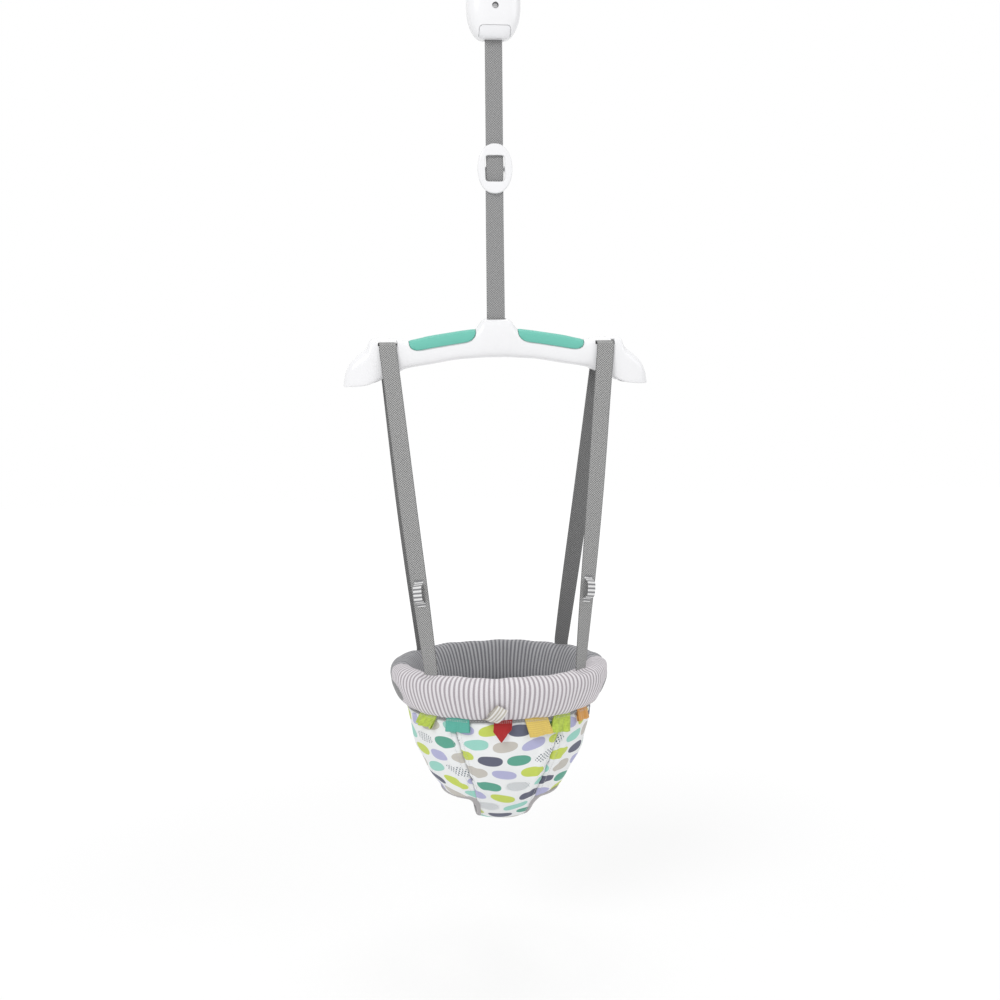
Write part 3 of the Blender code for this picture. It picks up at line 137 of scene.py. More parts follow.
bounce_turns = 9
bounce_wire = 0.0024
bounce_radius = 0.0155
plate_thickness = 0.004
plate_headroom = 0.0165
bounce_length = housing_height - wall - housing_floor - plate_thickness - plate_headroom
strap_pin_z = -0.1432
strap_pin_radius = 0.0025
strap_tail = 0.030
strap_bend_length = 0.008
strap_part_rise = 0.075
strap_split_rise = 0.003
strap_stitch_drops = (0.016, 0.020, 0.024)
strap_bulge = 0.0030
strap_window_share = 0.93
strap_window_tuck = 0.005
buckle_z = -0.444
buckle_width = 0.050
buckle_height = 0.0705
buckle_window_width = 0.0287
buckle_window_height = 0.037
buckle_thickness = 0.0065
buckle_edge = 0.002
buckle_power = 2.15
window_power = 7
buckle_bar_radius = 0.0022
buckle_post_width = 0.004
buckle_bar_y = web_thickness + layer_gap + gap + web_thickness / 2 + buckle_bar_radius
buckle_wrap = buckle_bar_radius + gap + web_thickness / 2

boss_z = -0.657
bar_half_length = 0.221
bar_height = 0.096
bar_half_depth = 0.0185
bar_power = 3
bar_end_inset = 0.0009
bar_end_reach = 0.0006
bar_ring_spacing = 0.006
bar_station_shares = [
    (0.000, 0.000, 0.583, 0.92), (0.063, 0.000, 0.583, 0.92), (0.086, 0.016, 0.585, 0.92),
    (0.113, 0.083, 0.588, 0.89), (0.136, 0.151, 0.592, 0.86), (0.240, 0.187, 0.607, 0.81),
    (0.430, 0.254, 0.676, 0.82), (0.600, 0.323, 0.742, 0.87),
    (0.630, 0.300, 0.775, 0.90), (0.703, 0.288, 0.842, 0.95), (0.783, 0.276, 0.927, 0.98),
    (0.824, 0.300, 0.960, 1.00), (0.850, 0.425, 0.980, 1.00), (0.900, 0.525, 0.995, 0.95),
    (0.955, 0.645, 1.000, 0.82), (0.990, 0.800, 1.000, 0.56),
    (1.000, 0.925, 1.000, 0.36)]
skirt_power = 12
skirt_start_share = 0.70
skirt_full_share = 0.85
grip_inner_share = 0.141
grip_outer_share = 0.574
grip_thickness = 0.0026
grip_proud = 0.0005
grip_room = 0.0009
grip_edge = 0.35
grip_reach_angle = radians(86)
grip_corner_angle = radians(46)
grip_end_power = 9
hollow_inner_share = 0.8035
hollow_outer_share = 0.965
roller_z = -0.679
roller_radius = 0.005
roller_pin_radius = 0.0025
roller_pin_length = 0.046
boss_slot_room = 0.0012
boss_slot_half_depth = 0.0092
slot_out = 0.158
slot_z = -0.691
slot_height = 0.0064
slot_room = 0.0016
slot_swing_room = 0.001
end_pin_radius = 0.004
end_pin_length = 0.036
end_pin_z = -0.6961
bar_screw_shares = (0.19, 0.54)
bar_screw_drop_shares = (0.47, 0.53)
bar_screw_length = 0.022
bar_screw_sink = 0.001

strap_clear = 0.0012
strap_lip_drop = 0.009
strap_sway_across = 0.0012
strap_sway_back = 0.0014
toy_loop_width = 0.013
toy_loop_height = 0.038
toy_loop_end = 0.0045
toy_loop_stand = 0.0095
toy_loop_share = 0.72
toy_loop_thickness = 0.0011
toy_loop_lift = 0.0013
toy_loop_pitch = 0.0008
toy_loop_stitch_half = 0.005
toy_loop_stitch_rise = 0.0006

ring_z = -1.19
ring_half_width = 0.139
ring_half_depth = 0.125
ring_pad_height = 0.062
ring_pad_thickness = 0.034
ring_lean = radians(22)
ring_power = 2.6
pad_swell = 0.0014
pad_seam_depth = 0.0016
pad_pucker_depth = 0.0012
pad_inner_seam_depth = 0.0010
pad_end_depth = 0.0040
pad_slit_depth = 0.0030
hoop_rise = 0.0125
hoop_wrap = 0.0078
strap_seat_across = 0.112
strap_seat_back = 0.090
patch_half_width = 0.026
patch_half_height = 0.019
patch_turn = tau / 44
patch_lift = 0.0028
patch_tuck = 0.0006
hoop_half_width = ring_half_width + hoop_rise * sin(ring_lean)
hoop_half_depth = ring_half_depth + hoop_rise * sin(ring_lean)
hoop_z = ring_z + hoop_rise * cos(ring_lean)

binding_radius = 0.002
binding_half_thickness = 0.0019
binding_half_height = 0.0034
binding_power = 3
binding_ripple = 0.0003
binding_stitch_out = 0.0021
pouch_drop = 0.176
pouch_power = 1.6
panel_top_half_width = 0.078
crotch_half_width = 0.033
panel_power = 3
leg_angle = radians(36.6)
binding_tuck_angle = radians(6)
cloth_thickness = 0.0014
pucker_depth = 0.0028
seam_depth = 0.0015
seam_bank_height = 0.0011
fold_height = 0.0009
ridge_height = 0.0026
sewn_tuck = 0.0002
tape_half_width = 0.0034
tape_half_thickness = 0.0017
tape_shift = 0.0014
tape_clear = 0.001
tape_corner_extra = 0.0022
tape_power = 2.6

tag_width = 0.033
tag_length = 0.032
tag_thickness = 0.0005
tag_stand = 0.0009
tag_tuck = 0.0012
tag_curl = 0.0022
tag_stitch_drops = (0.0022, 0.0040)
tag_profile = [
    (0.0, -0.0010), (0.25, 0.0002), (0.6, 0.0010), (0.9, 0.0013), (0.97, 0.0012), (1.0, 0.0004),
    (0.97, -0.0004), (0.9, -0.0006), (0.6, -0.0007), (0.25, -0.0009), (0.0, -0.0014)]
tag_shares = [
    ("tag_lime_left", -54, 1.0, 0.6, "lime", -0.20, 2.6), ("tag_teal", -32, 1.0, 0.63, "teal", 0.06, 1.3),
    ("tag_red", -4, 0.7, 1.0, "red", -0.05, 1.2), ("tag_yellow", 16, 0.97, 0.84, "yellow", 0.22, 1.4),
    ("tag_lime_right", 35, 0.88, 0.81, "lime", -0.28, 2.4),
    ("tag_orange", 55, 0.82, 0.56, "orange", -0.12, 1.6)]
cream_width = 0.014
cream_turn = radians(-90 - 13)
cream_lean = radians(34)
cream_foot_angle = radians(-53)
cream_thickness = 0.0007
cream_wave = 0.0005
cream_profile = [
    (0.0, 0.0012), (0.006, 0.0050), (0.015, 0.0084), (0.025, 0.0094), (0.031, 0.0078), (0.0325, 0.0052),
    (0.028, 0.0036), (0.016, 0.0028), (0.0, 0.0006)]

# The photograph's view: 1000 pixels span 1.47 m at the strap, seen from a little to the left
camera_azimuth = radians(-7)
camera_elevation = radians(6.5)
camera_roll = radians(0.5)
camera_distance = 2.2
camera_span = 1.47
camera_target = Vector((0.0037, 0.0, -0.922))
floor_z = -1.605
floor_glow = 0.62
world_light = 0.62
floor_shade = 0.92
floor_strength = 1.07
floor_fade = (0.5, 1.9)
lamps = [
    ("key", (-1.7, -2.3, 0.9), 38, 1.5), ("fill", (2.3, -1.6, 0.1), 13, 1.8),
    ("top", (0.2, 0.6, 1.6), 16, 1.6)]
lamp_target = Vector((0, 0, -0.95))


def at(x=0.0, y=0.0, z=0.0):
    return Vector((x, y, z))


along_x = at(x=1)
along_y = at(y=1)
along_z = at(z=1)


# Node materials

def feed(socket, value):
    """Links a node's output to a socket, or sets the socket to a constant."""
    if isinstance(value, Field):
        value = value.socket
    if isinstance(value, bpy.types.NodeSocket):
        socket.id_data.links.new(value, socket)
    elif socket.type == "RGBA":
        socket.default_value = (*value, 1)
    else:
        socket.default_value = value


def put(tree, kind, inputs=None, **settings):
    """A node with its settings and its inputs."""
    node = tree.nodes.new(kind)
    for key, value in settings.items():
        setattr(node, key, value)
    for key, value in (inputs or {}).items():
        feed(node.inputs[key], value)
    return node


class Field:
    """A number over the surface; each step of reckoning with it adds a math node."""

    def __init__(self, socket):
        self.socket = socket
        self.tree = socket.id_data

    def calc(self, operation, *values, clamp=False):
        inputs = dict(enumerate((self, *values)))
        node = put(self.tree, "ShaderNodeMath", inputs, operation=operation, use_clamp=clamp)
        return Field(node.outputs[0])

    def __add__(self, other):
        return self.calc("ADD", other)

    def __sub__(self, other):
        return self.calc("SUBTRACT", other)

    def __mul__(self, other):
        return self.calc("MULTIPLY", other)

    def __truediv__(self, other):
        return self.calc("DIVIDE", other)

    def __mod__(self, other):
        return self.calc("FLOORED_MODULO", other)

    def wave(self, pitch):
        return (self * (tau / pitch)).calc("SINE")

    def opposite(self):
        return self * -1.0 + 1.0


def noise(place, scale, detail=3.0, roughness=0.55):
    return Field(put(place.id_data, "ShaderNodeTexNoise", {
        "Vector": place, "Scale": scale, "Detail": detail, "Roughness": roughness}).outputs[0])


def ramp(field, low, high):
    """0 under `low`, 1 over `high`, smooth between."""
    return Field(put(field.tree, "ShaderNodeMapRange", {
        "Value": field, "From Min": low, "From Max": high}, interpolation_type="SMOOTHSTEP").outputs[0])


def mix(factor, first, second):
    """The first colour where the factor is 0, the second where it is 1."""
    return put(factor.tree, "ShaderNodeMix", {0: factor, 6: first, 7: second}, data_type="RGBA").outputs[2]


def shaded(colour, share):
    return tuple(channel * share for channel in colour)


class Look:
    """A material in the making: its tree and its shader."""

    def __init__(self, name, roughness, metallic=0.0, sheen=0.0, specular=0.5):
        self.material = bpy.data.materials.new(name)
        self.material.use_nodes = True
        self.tree = self.material.node_tree
        self.surface = self.tree.nodes["Principled BSDF"]
        for key, value in (("Roughness", roughness), ("Metallic", metallic), ("Sheen Weight", sheen),
                           ("Sheen Roughness", 0.5), ("Specular IOR Level", specular)):
            self.feed(key, value)

    def feed(self, key, value):
        feed(self.surface.inputs[key], value)

    def place(self, kind="Object"):
        return put(self.tree, "ShaderNodeTexCoord").outputs[kind]

    def cloth(self):
        """Distances over the cloth in metres: across, along, and both as a vector."""
        vector = self.place("UV")
        parts = put(self.tree, "ShaderNodeSeparateXYZ", {"Vector": vector}).outputs
        return Field(parts[0]), Field(parts[1]), vector

    def finish(self, colour, height, distance, strength, edge=0.0):
        inputs = {"Height": height, "Distance": distance, "Strength": strength}
        if edge:
            inputs["Normal"] = put(self.tree, "ShaderNodeBevel", {"Radius": edge}, samples=4).outputs[0]
        self.feed("Normal", put(self.tree, "ShaderNodeBump", inputs).outputs[0])
        self.feed("Base Color", colour)
        return self.material


def moulded(name, colour, roughness, grain_scale, grain_depth, edge=0.0007):
    """Moulded plastic or rubber: a faint mottle, a fine grain and softened edges."""
    look = Look(name, roughness)
    place = look.place()
    look.feed("Roughness", ramp(noise(place, 160, 5), 0.2, 0.8) * 0.06 + (roughness - 0.03))
    return look.finish(mix(noise(place, 60), shaded(colour, 0.975), colour),
                       noise(place, grain_scale, 2), grain_depth, 0.6, edge)


def metal(name, colour, roughness):
    look = Look(name, roughness, 1.0)
    drawn = put(look.tree, "ShaderNodeMapping", {"Vector": look.place(), "Scale": (1, 1, 12)}).outputs[0]
    streak = noise(drawn, 300, 4)
    look.feed("Roughness", streak * 0.25 + (roughness - 0.1))
    return look.finish(mix(streak, shaded(colour, 0.7), colour), streak, 0.00003, 0.5)


def weave_height(across, along, pitch_across, pitch_along):
    """Plain weave: threads go over and under each other."""
    return across.wave(2 * pitch_across) * along.wave(2 * pitch_along) * 0.5 + 0.5


def yarn_grain(across, along, place, pitch):
    return weave_height(across, along, pitch, pitch) * 0.5 + noise(place, 700, 3, 0.7) * 0.5


def webbing_material(name, dark, light):
    look = Look(name, 0.85, sheen=0.15, specular=0.25)
    across, along, place = look.cloth()
    weave = weave_height(across, along, 0.0018, 0.0017)
    speck = ramp(noise(place, 760, 2, 0.7), 0.36, 0.64)
    colour = mix(ramp(weave, 0.2, 0.8) * 0.62 + speck * 0.38, dark, light)
    edge = ramp((across - web_width / 2).calc("ABSOLUTE"), web_width * 0.43, web_width * 0.5)
    return look.finish(mix(edge * 0.55, colour, dark), weave, 0.0004, 0.8)


def striped_material(name, light, dark, pitch, share, heather, along_cloth=False):
    """Woven stripes with a soft edge and broken-up yarn."""
    look = Look(name, 0.9, sheen=0.2, specular=0.2)
    across, along, place = look.cloth()
    run = noise(place, 25, 1) * 0.0012 + (along if along_cloth else across)
    wave = run.wave(pitch)
    stripe = ramp(wave, share - 0.45, share + 0.45)
    yarn = ramp(noise(place, 900, 3, 0.75), 0.3, 0.7)
    mixed = (yarn - 0.5).calc("MULTIPLY_ADD", heather, stripe, clamp=True)
    height = wave * -0.6 + weave_height(across, along, 0.0011, 0.0011) * 0.4
    return look.finish(mix(mixed, light, dark), height, 0.0003, 0.7)


def plain_cloth(name, colour, contrast, pitch=0.0013, depth=0.0003):
    look = Look(name, 0.88, sheen=0.2, specular=0.25)
    grain = yarn_grain(*look.cloth(), pitch)
    return look.finish(mix(grain, shaded(colour, 1 - contrast), colour), grain, depth, 0.7)


def ribbon_material(name, colour, rib_pitch, depth, roughness, crinkle=0.0):
    """Ribbon with fine ribs across it and, where it is crinkled, a puckered face."""
    look = Look(name, roughness, sheen=0.25, specular=0.35)
    _, along, place = look.cloth()
    rib = along.wave(rib_pitch)
    folds = noise(place, 130, 2, 0.6)
    # Painted shade and highlight: the colour is lighter on the ribs' crests and, where crinkled, on the
    # folds' crests, and darker in their troughs, over a random tone.
    shade = rib * 0.18 + noise(place, 500, 3, 0.7) * 0.5
    shade = ramp(folds, 0.35, 0.6).calc("MULTIPLY_ADD", crinkle, shade, clamp=True)
    lighter = tuple(min(channel * 1.18, 0.9) for channel in colour)
    return look.finish(mix(shade, shaded(colour, 0.74), lighter),
                       folds * (2 * crinkle) + rib * 0.35, depth, 0.8)


print_colours = [
    (0.075, 0.082, 0.140), (0.440, 0.440, 0.680), (0.300, 0.660, 0.560), (0.065, 0.350, 0.245),
    (0.560, 0.670, 0.070), (0.560, 0.530, 0.480), (0.045, 0.085, 0.120)]
print_width = 0.042
print_height = 0.0235
oval_half_width = 0.0180
oval_half_height = 0.0084
oval_power = 2.3
dot_pitch_across = 0.0047
dot_pitch_along = 0.0062
undotted_share = 0.86


def print_material(name, ground):
    """White cloth printed with half-drop rows of plain ovals, some of them filled with dots."""
    look = Look(name, 0.88, sheen=0.15, specular=0.25)
    across, along, place = look.cloth()
    row_place = along / print_height
    row = row_place.calc("FLOOR")
    column_place = across / print_width + row % 2.0 * 0.5
    column = column_place.calc("FLOOR")
    x = column_place.calc("FRACT") - 0.5
    y = row_place.calc("FRACT") - 0.5
    count = float(len(print_colours))
    pick = ((column * 3.0 + row * 5.0) % count + 0.5) / count
    cell = put(look.tree, "ShaderNodeCombineXYZ", {"X": column, "Y": row}).outputs[0]
    cell = put(look.tree, "ShaderNodeVectorMath", {0: cell, 1: (17.3, 5.1, 0.0)}, operation="ADD").outputs[0]
    chance = put(look.tree, "ShaderNodeTexWhiteNoise", {"Vector": cell}, noise_dimensions="2D").outputs[0]
    lean = (Field(chance) - 0.5) * 0.5
    wide = x * (print_width / oval_half_width)
    tall = x * lean * (print_width / oval_half_height) + y * (print_height / oval_half_height)
    reach = wide.calc("ABSOLUTE").calc("POWER", oval_power) + tall.calc("ABSOLUTE").calc("POWER", oval_power)
    spots = ramp(across.wave(dot_pitch_across) * along.wave(dot_pitch_along), 0.18, 0.42)
    dotted = pick.calc("GREATER_THAN", undotted_share)
    fill = ramp(reach, 0.93, 1.05).opposite() * (dotted * spots + dotted.opposite())
    palette = put(look.tree, "ShaderNodeValToRGB", {"Fac": pick})
    stops = palette.color_ramp
    stops.interpolation = "CONSTANT"
    while len(stops.elements) < len(print_colours):
        stops.elements.new(1.0)
    for i, colour in enumerate(print_colours):
        stops.elements[i].position = i / len(print_colours)
        stops.elements[i].color = (*colour, 1)
    grain = yarn_grain(across, along, place, 0.0011)
    base = mix(grain, shaded(ground, 0.93), ground)
    ink = fill * (grain * 0.1 + 0.88)
    return look.finish(mix(ink, base, palette.outputs[0]), grain, 0.00025, 0.6)


white = moulded("white_plastic", (0.90, 0.90, 0.915), 0.25, 1100, 0.00001)
trim = moulded("white_trim", (0.87, 0.87, 0.89), 0.32, 1100, 0.00001)
teal = moulded("teal_grip", (0.150, 0.530, 0.430), 0.55, 1500, 0.00012, 0.0004)
rubber = moulded("jaw_rubber", (0.110, 0.450, 0.370), 0.7, 1200, 0.00012, 0.0005)
dark_plastic = moulded("grey_plastic", (0.20, 0.205, 0.215), 0.45, 900, 0.00005, 0.0)
steel = metal("steel", (0.60, 0.60, 0.61), 0.34)
webbing = webbing_material("webbing", (0.13, 0.13, 0.133), (0.86, 0.86, 0.855))
side_webbing = webbing_material("side_webbing", (0.05, 0.05, 0.052), (0.58, 0.58, 0.575))
stripes = striped_material("striped_cloth", (0.80, 0.775, 0.80), (0.385, 0.345, 0.375), 0.0062, 0.18, 0.5)
heather = striped_material("heather_cloth", (0.42, 0.42, 0.435), (0.165, 0.165, 0.18), 0.0064, 0.0, 0.9)
loop_stripes = striped_material(
    "loop_stripes", (0.80, 0.80, 0.80), (0.22, 0.22, 0.23), 0.0056, 0.1, 0.3, along_cloth=True)
grey_cloth = plain_cloth("grey_cloth", (0.30, 0.30, 0.305), 0.45)
pale_tape = plain_cloth("pale_tape", (0.53, 0.51, 0.515), 0.35)
pouch_print = print_material("pouch_cloth", (0.90, 0.915, 0.92))
lining = plain_cloth("pouch_lining", (0.80, 0.81, 0.82), 0.12)
thread_light = plain_cloth("light_thread", (0.74, 0.74, 0.75), 0.3, 0.0006, 0.00008)
thread_grey = plain_cloth("grey_thread", (0.34, 0.34, 0.35), 0.3, 0.0006, 0.00008)
ribbons = {
    "lime": ribbon_material("lime_ribbon", (0.50, 0.64, 0.09), 0.0022, 0.0005, 0.7, 0.45),
    "teal": ribbon_material("teal_ribbon", (0.115, 0.50, 0.40), 0.0016, 0.0002, 0.55),
    "red": ribbon_material("red_ribbon", (0.47, 0.012, 0.014), 0.0014, 0.00015, 0.5),
    "yellow": ribbon_material("yellow_ribbon", (0.88, 0.62, 0.15), 0.0030, 0.0003, 0.6),
    "orange": ribbon_material("orange_ribbon", (0.84, 0.40, 0.10), 0.0018, 0.0002, 0.6)}
cream = striped_material("cream_ribbon", (0.80, 0.79, 0.77), (0.50, 0.46, 0.39), 0.0046, 0.1, 0.3)


# Mesh helpers

def dress(piece, body, material, *replaced, slot=None):
    """Gives a piece its material, its body and the solids that it stands for.

    The slot is not used.
    """
    piece.data.materials.append(material)
    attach(piece, body)
    if replaced:
        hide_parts(*replaced)


def in_scene(name, data):
    thing = bpy.data.objects.new(name, data)
    bpy.context.scene.collection.objects.link(thing)
    return thing


def new_piece(name, data, smooth_angle=None):
    data.name = name
    piece = in_scene(name, data)
    data.shade_smooth()
    if smooth_angle:
        data.set_sharp_from_angle(angle=radians(smooth_angle))
    return piece


def cloth_lengths(points, wrap_rows, wrap_columns):
    """Distances across and along a grid of points, as means over its rows and columns."""
    closed = np.concatenate([points, points[:1]]) if wrap_rows else points
    steps = np.linalg.norm(np.diff(closed, axis=0), axis=2).mean(1)
    along = np.concatenate([[0], np.cumsum(steps)])
    closed = np.concatenate([points, points[:, :1]], 1) if wrap_columns else points
    steps = np.linalg.norm(np.diff(closed, axis=1), axis=2).mean(0)
    across = np.concatenate([[0], np.cumsum(steps)])
    return np.stack(np.meshgrid(across, along), -1)


def grid(rows, columns, place):
    """Points over rows and columns, from a function of the two counts."""
    return np.array([[list(place(i, j)) for j in range(columns)] for i in range(rows)])


def skin(name, points, place=None, wrap_rows=False, wrap_columns=False, caps=False, flip=False):
    """A mesh over a grid of points, with its cloth distances in metres as its UV map."""
    points = np.asarray(points, float)
    rows, columns = points.shape[:2]
    if place is None:
        place = cloth_lengths(points, wrap_rows, wrap_columns)
    faces = []
    for i in range(rows if wrap_rows else rows - 1):
        for j in range(columns if wrap_columns else columns - 1):
            quad = [(i, j), (i + 1, j), (i + 1, j + 1), (i, j + 1)]
            faces.append(quad[::-1] if flip else quad)
    if caps:
        for i, backwards in ((0, flip), (rows - 1, not flip)):
            cap = [(i, j) for j in range(columns)]
            faces.append(cap[::-1] if backwards else cap)
    data = bpy.data.meshes.new(name)
    data.from_pydata(points.reshape(-1, 3).tolist(), [],
                     [[a % rows * columns + b % columns for a, b in face] for face in faces])
    corners = np.array([place[a, b] for face in faces for a, b in face], np.float32)
    data.uv_layers.new(name="cloth").data.foreach_set("uv", corners.ravel())
    data.validate()
    data.update()
    if wrap_columns or wrap_rows:
        shape = bmesh.new()
        shape.from_mesh(data)
        bmesh.ops.recalc_face_normals(shape, faces=shape.faces)
        shape.to_mesh(data)
        shape.free()
    return new_piece(name, data)


def grid_normals(points):
    normal = np.cross(np.gradient(points, axis=0), np.gradient(points, axis=1))
    return normal / np.maximum(np.linalg.norm(normal, axis=2, keepdims=True), 1e-12)


def loft_data(rings, closed=False):
    """A solid through rings that have the same number of points."""
    shape = bmesh.new()
    rows = [[shape.verts.new(point) for point in ring] for ring in rings]
    count = len(rows[0])
    for i in range(len(rows) if closed else len(rows) - 1):
        here = rows[i]
        beyond = rows[(i + 1) % len(rows)]
        for j in range(count):
            k = (j + 1) % count
            shape.faces.new((here[j], here[k], beyond[k], beyond[j]))
    if not closed:
        shape.faces.new(rows[0])
        shape.faces.new(rows[-1])
    bmesh.ops.recalc_face_normals(shape, faces=shape.faces)
    data = bpy.data.meshes.new("loft")
    shape.to_mesh(data)
    shape.free()
    return data


tools_made = []


def tool(rings):
    """A solid that cuts or joins others."""
    guide = in_scene("tool", loft_data(rings))
    tools_made.append(guide)
    return guide


def drop_tools():
    """Takes the cutting solids out once the pieces are made."""
    for guide in tools_made:
        data = guide.data
        bpy.data.objects.remove(guide)
        bpy.data.meshes.remove(data)


def work(target, *steps, smooth_angle=35):
    """Boolean steps, each an operation and its tools, made part of the piece's own mesh."""
    for operation, tools in steps:
        for guide in tools:
            modifier = target.modifiers.new(operation, "BOOLEAN")
            modifier.operation = operation
            modifier.solver = "EXACT"
            modifier.object = guide
    bpy.context.view_layer.update()
    done = target.evaluated_get(bpy.context.evaluated_depsgraph_get())
    data = bpy.data.meshes.new_from_object(done)
    target.modifiers.clear()
    target.data = data
    data.shade_smooth()
    data.set_sharp_from_angle(angle=radians(smooth_angle))


def box_tool(corner, opposite):
    """A box between two opposite corners."""
    low, high = zip(*(sorted(pair) for pair in zip(corner, opposite)))
    return tool([[Vector((low[0], low[1], z)), Vector((high[0], low[1], z)),
                  Vector((high[0], high[1], z)), Vector((low[0], high[1], z))] for z in (low[2], high[2])])


def round_rings(start, axis, profile, sides):
    """Rings of a turned piece: the profile lists distance along the axis and radius."""
    axis = Vector(axis).normalized()
    first = axis.orthogonal().normalized()
    second = axis.cross(first)
    rings = []
    for distance, radius in profile:
        centre = Vector(start) + axis * distance
        rings.append([centre + first * (radius * cos(tau * (i + 0.5) / sides))
                      + second * (radius * sin(tau * (i + 0.5) / sides)) for i in range(sides)])
    return rings


def rod_tool(start, length, radius, sides):
    """A rod that runs across, from its left end."""
    return tool(round_rings(start, along_x, [(0, radius), (length, radius)], sides))


def squircle(angle, half_width, half_height, power):
    c = cos(angle)
    s = sin(angle)
    return (half_width * copysign(abs(c) ** (2 / power), c),
            half_height * copysign(abs(s) ** (2 / power), s))


def smooth_path(points, steps, closed=False):
    """A smooth curve through the points, with the same number of steps in each span."""
    if closed:
        frame_points = [points[-1]] + list(points) + [points[0], points[1]]
    else:
        frame_points = [points[0] * 2 - points[1]] + list(points) + [points[-1] * 2 - points[-2]]
    path = []
    for i in range(len(frame_points) - 3):
        p0, p1, p2, p3 = frame_points[i:i + 4]
        for j in range(steps):
            t = j / steps
            path.append(0.5 * (2 * p1 + (p2 - p0) * t + (2 * p0 - 5 * p1 + 4 * p2 - p3) * t ** 2
                               + (3 * p1 - p0 - 3 * p2 + p3) * t ** 3))
    if not closed:
        path.append(points[-1].copy())
    return path


def read_off(marks, lengths, values):
    """Vectors that are given at some lengths of a path, at other lengths of it."""
    values = np.array([list(value) for value in values])
    return np.stack([np.interp(marks, lengths, values[:, k]) for k in range(3)], 1)


def even_path(points, pitch):
    """The same line with its points an even distance apart."""
    places = np.array([list(point) for point in points])
    lengths = np.concatenate([[0], np.cumsum(np.linalg.norm(np.diff(places, axis=0), axis=1))])
    marks = np.linspace(0, lengths[-1], max(int(round(lengths[-1] / pitch)), 2) + 1)
    return marks, read_off(marks, lengths, points), lengths


def direction_at(path, i, closed=False):
    if closed:
        return (path[(i + 1) % len(path)] - path[i - 1]).normalized()
    return (path[min(i + 1, len(path) - 1)] - path[max(i - 1, 0)]).normalized()


def section_rings(path, across, section):
    """A section at every point of a path, square to it; across may be one direction or a list."""
    rings = []
    for i, point in enumerate(path):
        along = direction_at(path, i)
        side = across[i] if isinstance(across, list) else across
        side = (side - along * side.dot(along)).normalized()
        face = side.cross(along)
        rings.append([point + side * u + face * v for u, v in section])
    return rings


def tube_rings(path, radius, sides):
    rings = []
    for i, point in enumerate(path):
        along = direction_at(path, i)
        side = along.cross(along_z if abs(along.z) < 0.9 else along_y).normalized()
        face = side.cross(along)
        rings.append([point + side * (radius * cos(tau * j / sides)) + face * (radius * sin(tau * j / sides))
                      for j in range(sides)])
    return rings


def arc_points(centre, radius, start, end, steps):
    """An arc round an axis that runs across, from the rear and over the top."""
    angles = [radians(start + (end - start) * i / steps) for i in range(steps + 1)]
    return [centre + along_y * (radius * cos(angle)) + along_z * (radius * sin(angle)) for angle in angles]


def band(name, path, across, width, thickness, pitch=0.002):
    """A flat strap with rounded edges along a path; its cloth map starts at one edge."""
    marks, places, lengths = even_path(path, pitch)
    if isinstance(across, list):
        across = [Vector(side) for side in read_off(marks, lengths, across)]
    shares = (-0.5, -0.49, -0.46, -0.4, -0.2, 0, 0.2, 0.4, 0.46, 0.49, 0.5)
    heights = (0.0, 0.3, 0.42, 0.5, 0.5, 0.5, 0.5, 0.5, 0.42, 0.3, 0.0)
    section = [(share * width, height * thickness) for share, height in zip(shares, heights)]
    section += [(share * width, -height * thickness) for share, height in
                zip(reversed(shares[1:-1]), reversed(heights[1:-1]))]
    rings = section_rings([Vector(place) for place in places], across, section)
    reach = [share * width + width / 2 for share in shares]
    reach += [1.5 * width - share * width for share in reversed(shares[1:-1])] + [2 * width]
    piece = skin(name, [[list(point) for point in ring] for ring in rings],
                 np.stack(np.meshgrid(reach, marks), -1), wrap_columns=True, caps=True)
    piece.data.set_sharp_from_angle(angle=radians(62))
    return piece


def stitches(name, path, faces, body, material, slot, size=web_stitch):
    """A row of thread stitches along a path; faces are the directions out of the cloth."""
    pitch, length = size
    marks, places, lengths = even_path(path, pitch)
    outs = read_off(marks, lengths, faces)
    sides = 6
    profile = [(-0.5, 0.35), (-0.36, 0.9), (0.0, 1.0), (0.36, 0.9), (0.5, 0.35)]
    points = []
    quads = []
    for i in range(len(places) - 1):
        middle = Vector((places[i] + places[i + 1]) / 2)
        along = Vector(places[i + 1] - places[i]).normalized()
        out = Vector((outs[i] + outs[i + 1]) / 2).normalized()
        side = along.cross(out).normalized()
        for step, (share, round_share) in enumerate(profile):
            lift = thread_lift + thread_radius * (0.8 - 3.2 * share * share)
            centre = middle + along * (share * length) + out * lift
            first = len(points)
            for k in range(sides):
                angle = tau * k / sides
                face = side * cos(angle) + out * sin(angle)
                points.append(list(centre + face * (thread_radius * round_share)))
                if step:
                    n = (k + 1) % sides
                    quads.append((first - sides + k, first - sides + n, first + n, first + k))
    data = bpy.data.meshes.new(name)
    data.from_pydata(points, [], quads)
    data.uv_layers.new(name="cloth")
    data.update()
    dress(new_piece(name, data), body, material, slot=slot)


# Door clamp

def jaw_path(side, steps):
    """The arm's line from the pin to the back of its plate."""
    points = [at(y=side * reach * jaw_reach, z=jaw_pin_z - rise * jaw_pin_z)
              for reach, rise in jaw_path_shares]
    plate_back = jaw_opening / 2 + pad_thickness + gap + pad_plate_thickness
    points.append(at(y=side * (plate_back - pad_plate_bite)))
    return smooth_path(points, steps)


def slab_rings(side, near, far, bevel):
    """A slab of the pad's outline with rounded edges."""
    insets = [(near, bevel), (near + bevel * (1 - sqrt(1 - 0.7 ** 2)), bevel * 0.7 ** 2),
              (near + bevel, 0.0)]
    insets += [(near + far - distance, inset) for distance, inset in reversed(insets[1:])] + [(far, bevel)]
    rings = []
    for distance, inset in insets:
        ring = []
        for i in range(64):
            x, z = squircle(tau * i / 64, pad_width / 2 - inset, pad_height / 2 - inset, pad_power)
            ring.append(at(x, side * distance, z))
        rings.append(ring)
    return rings


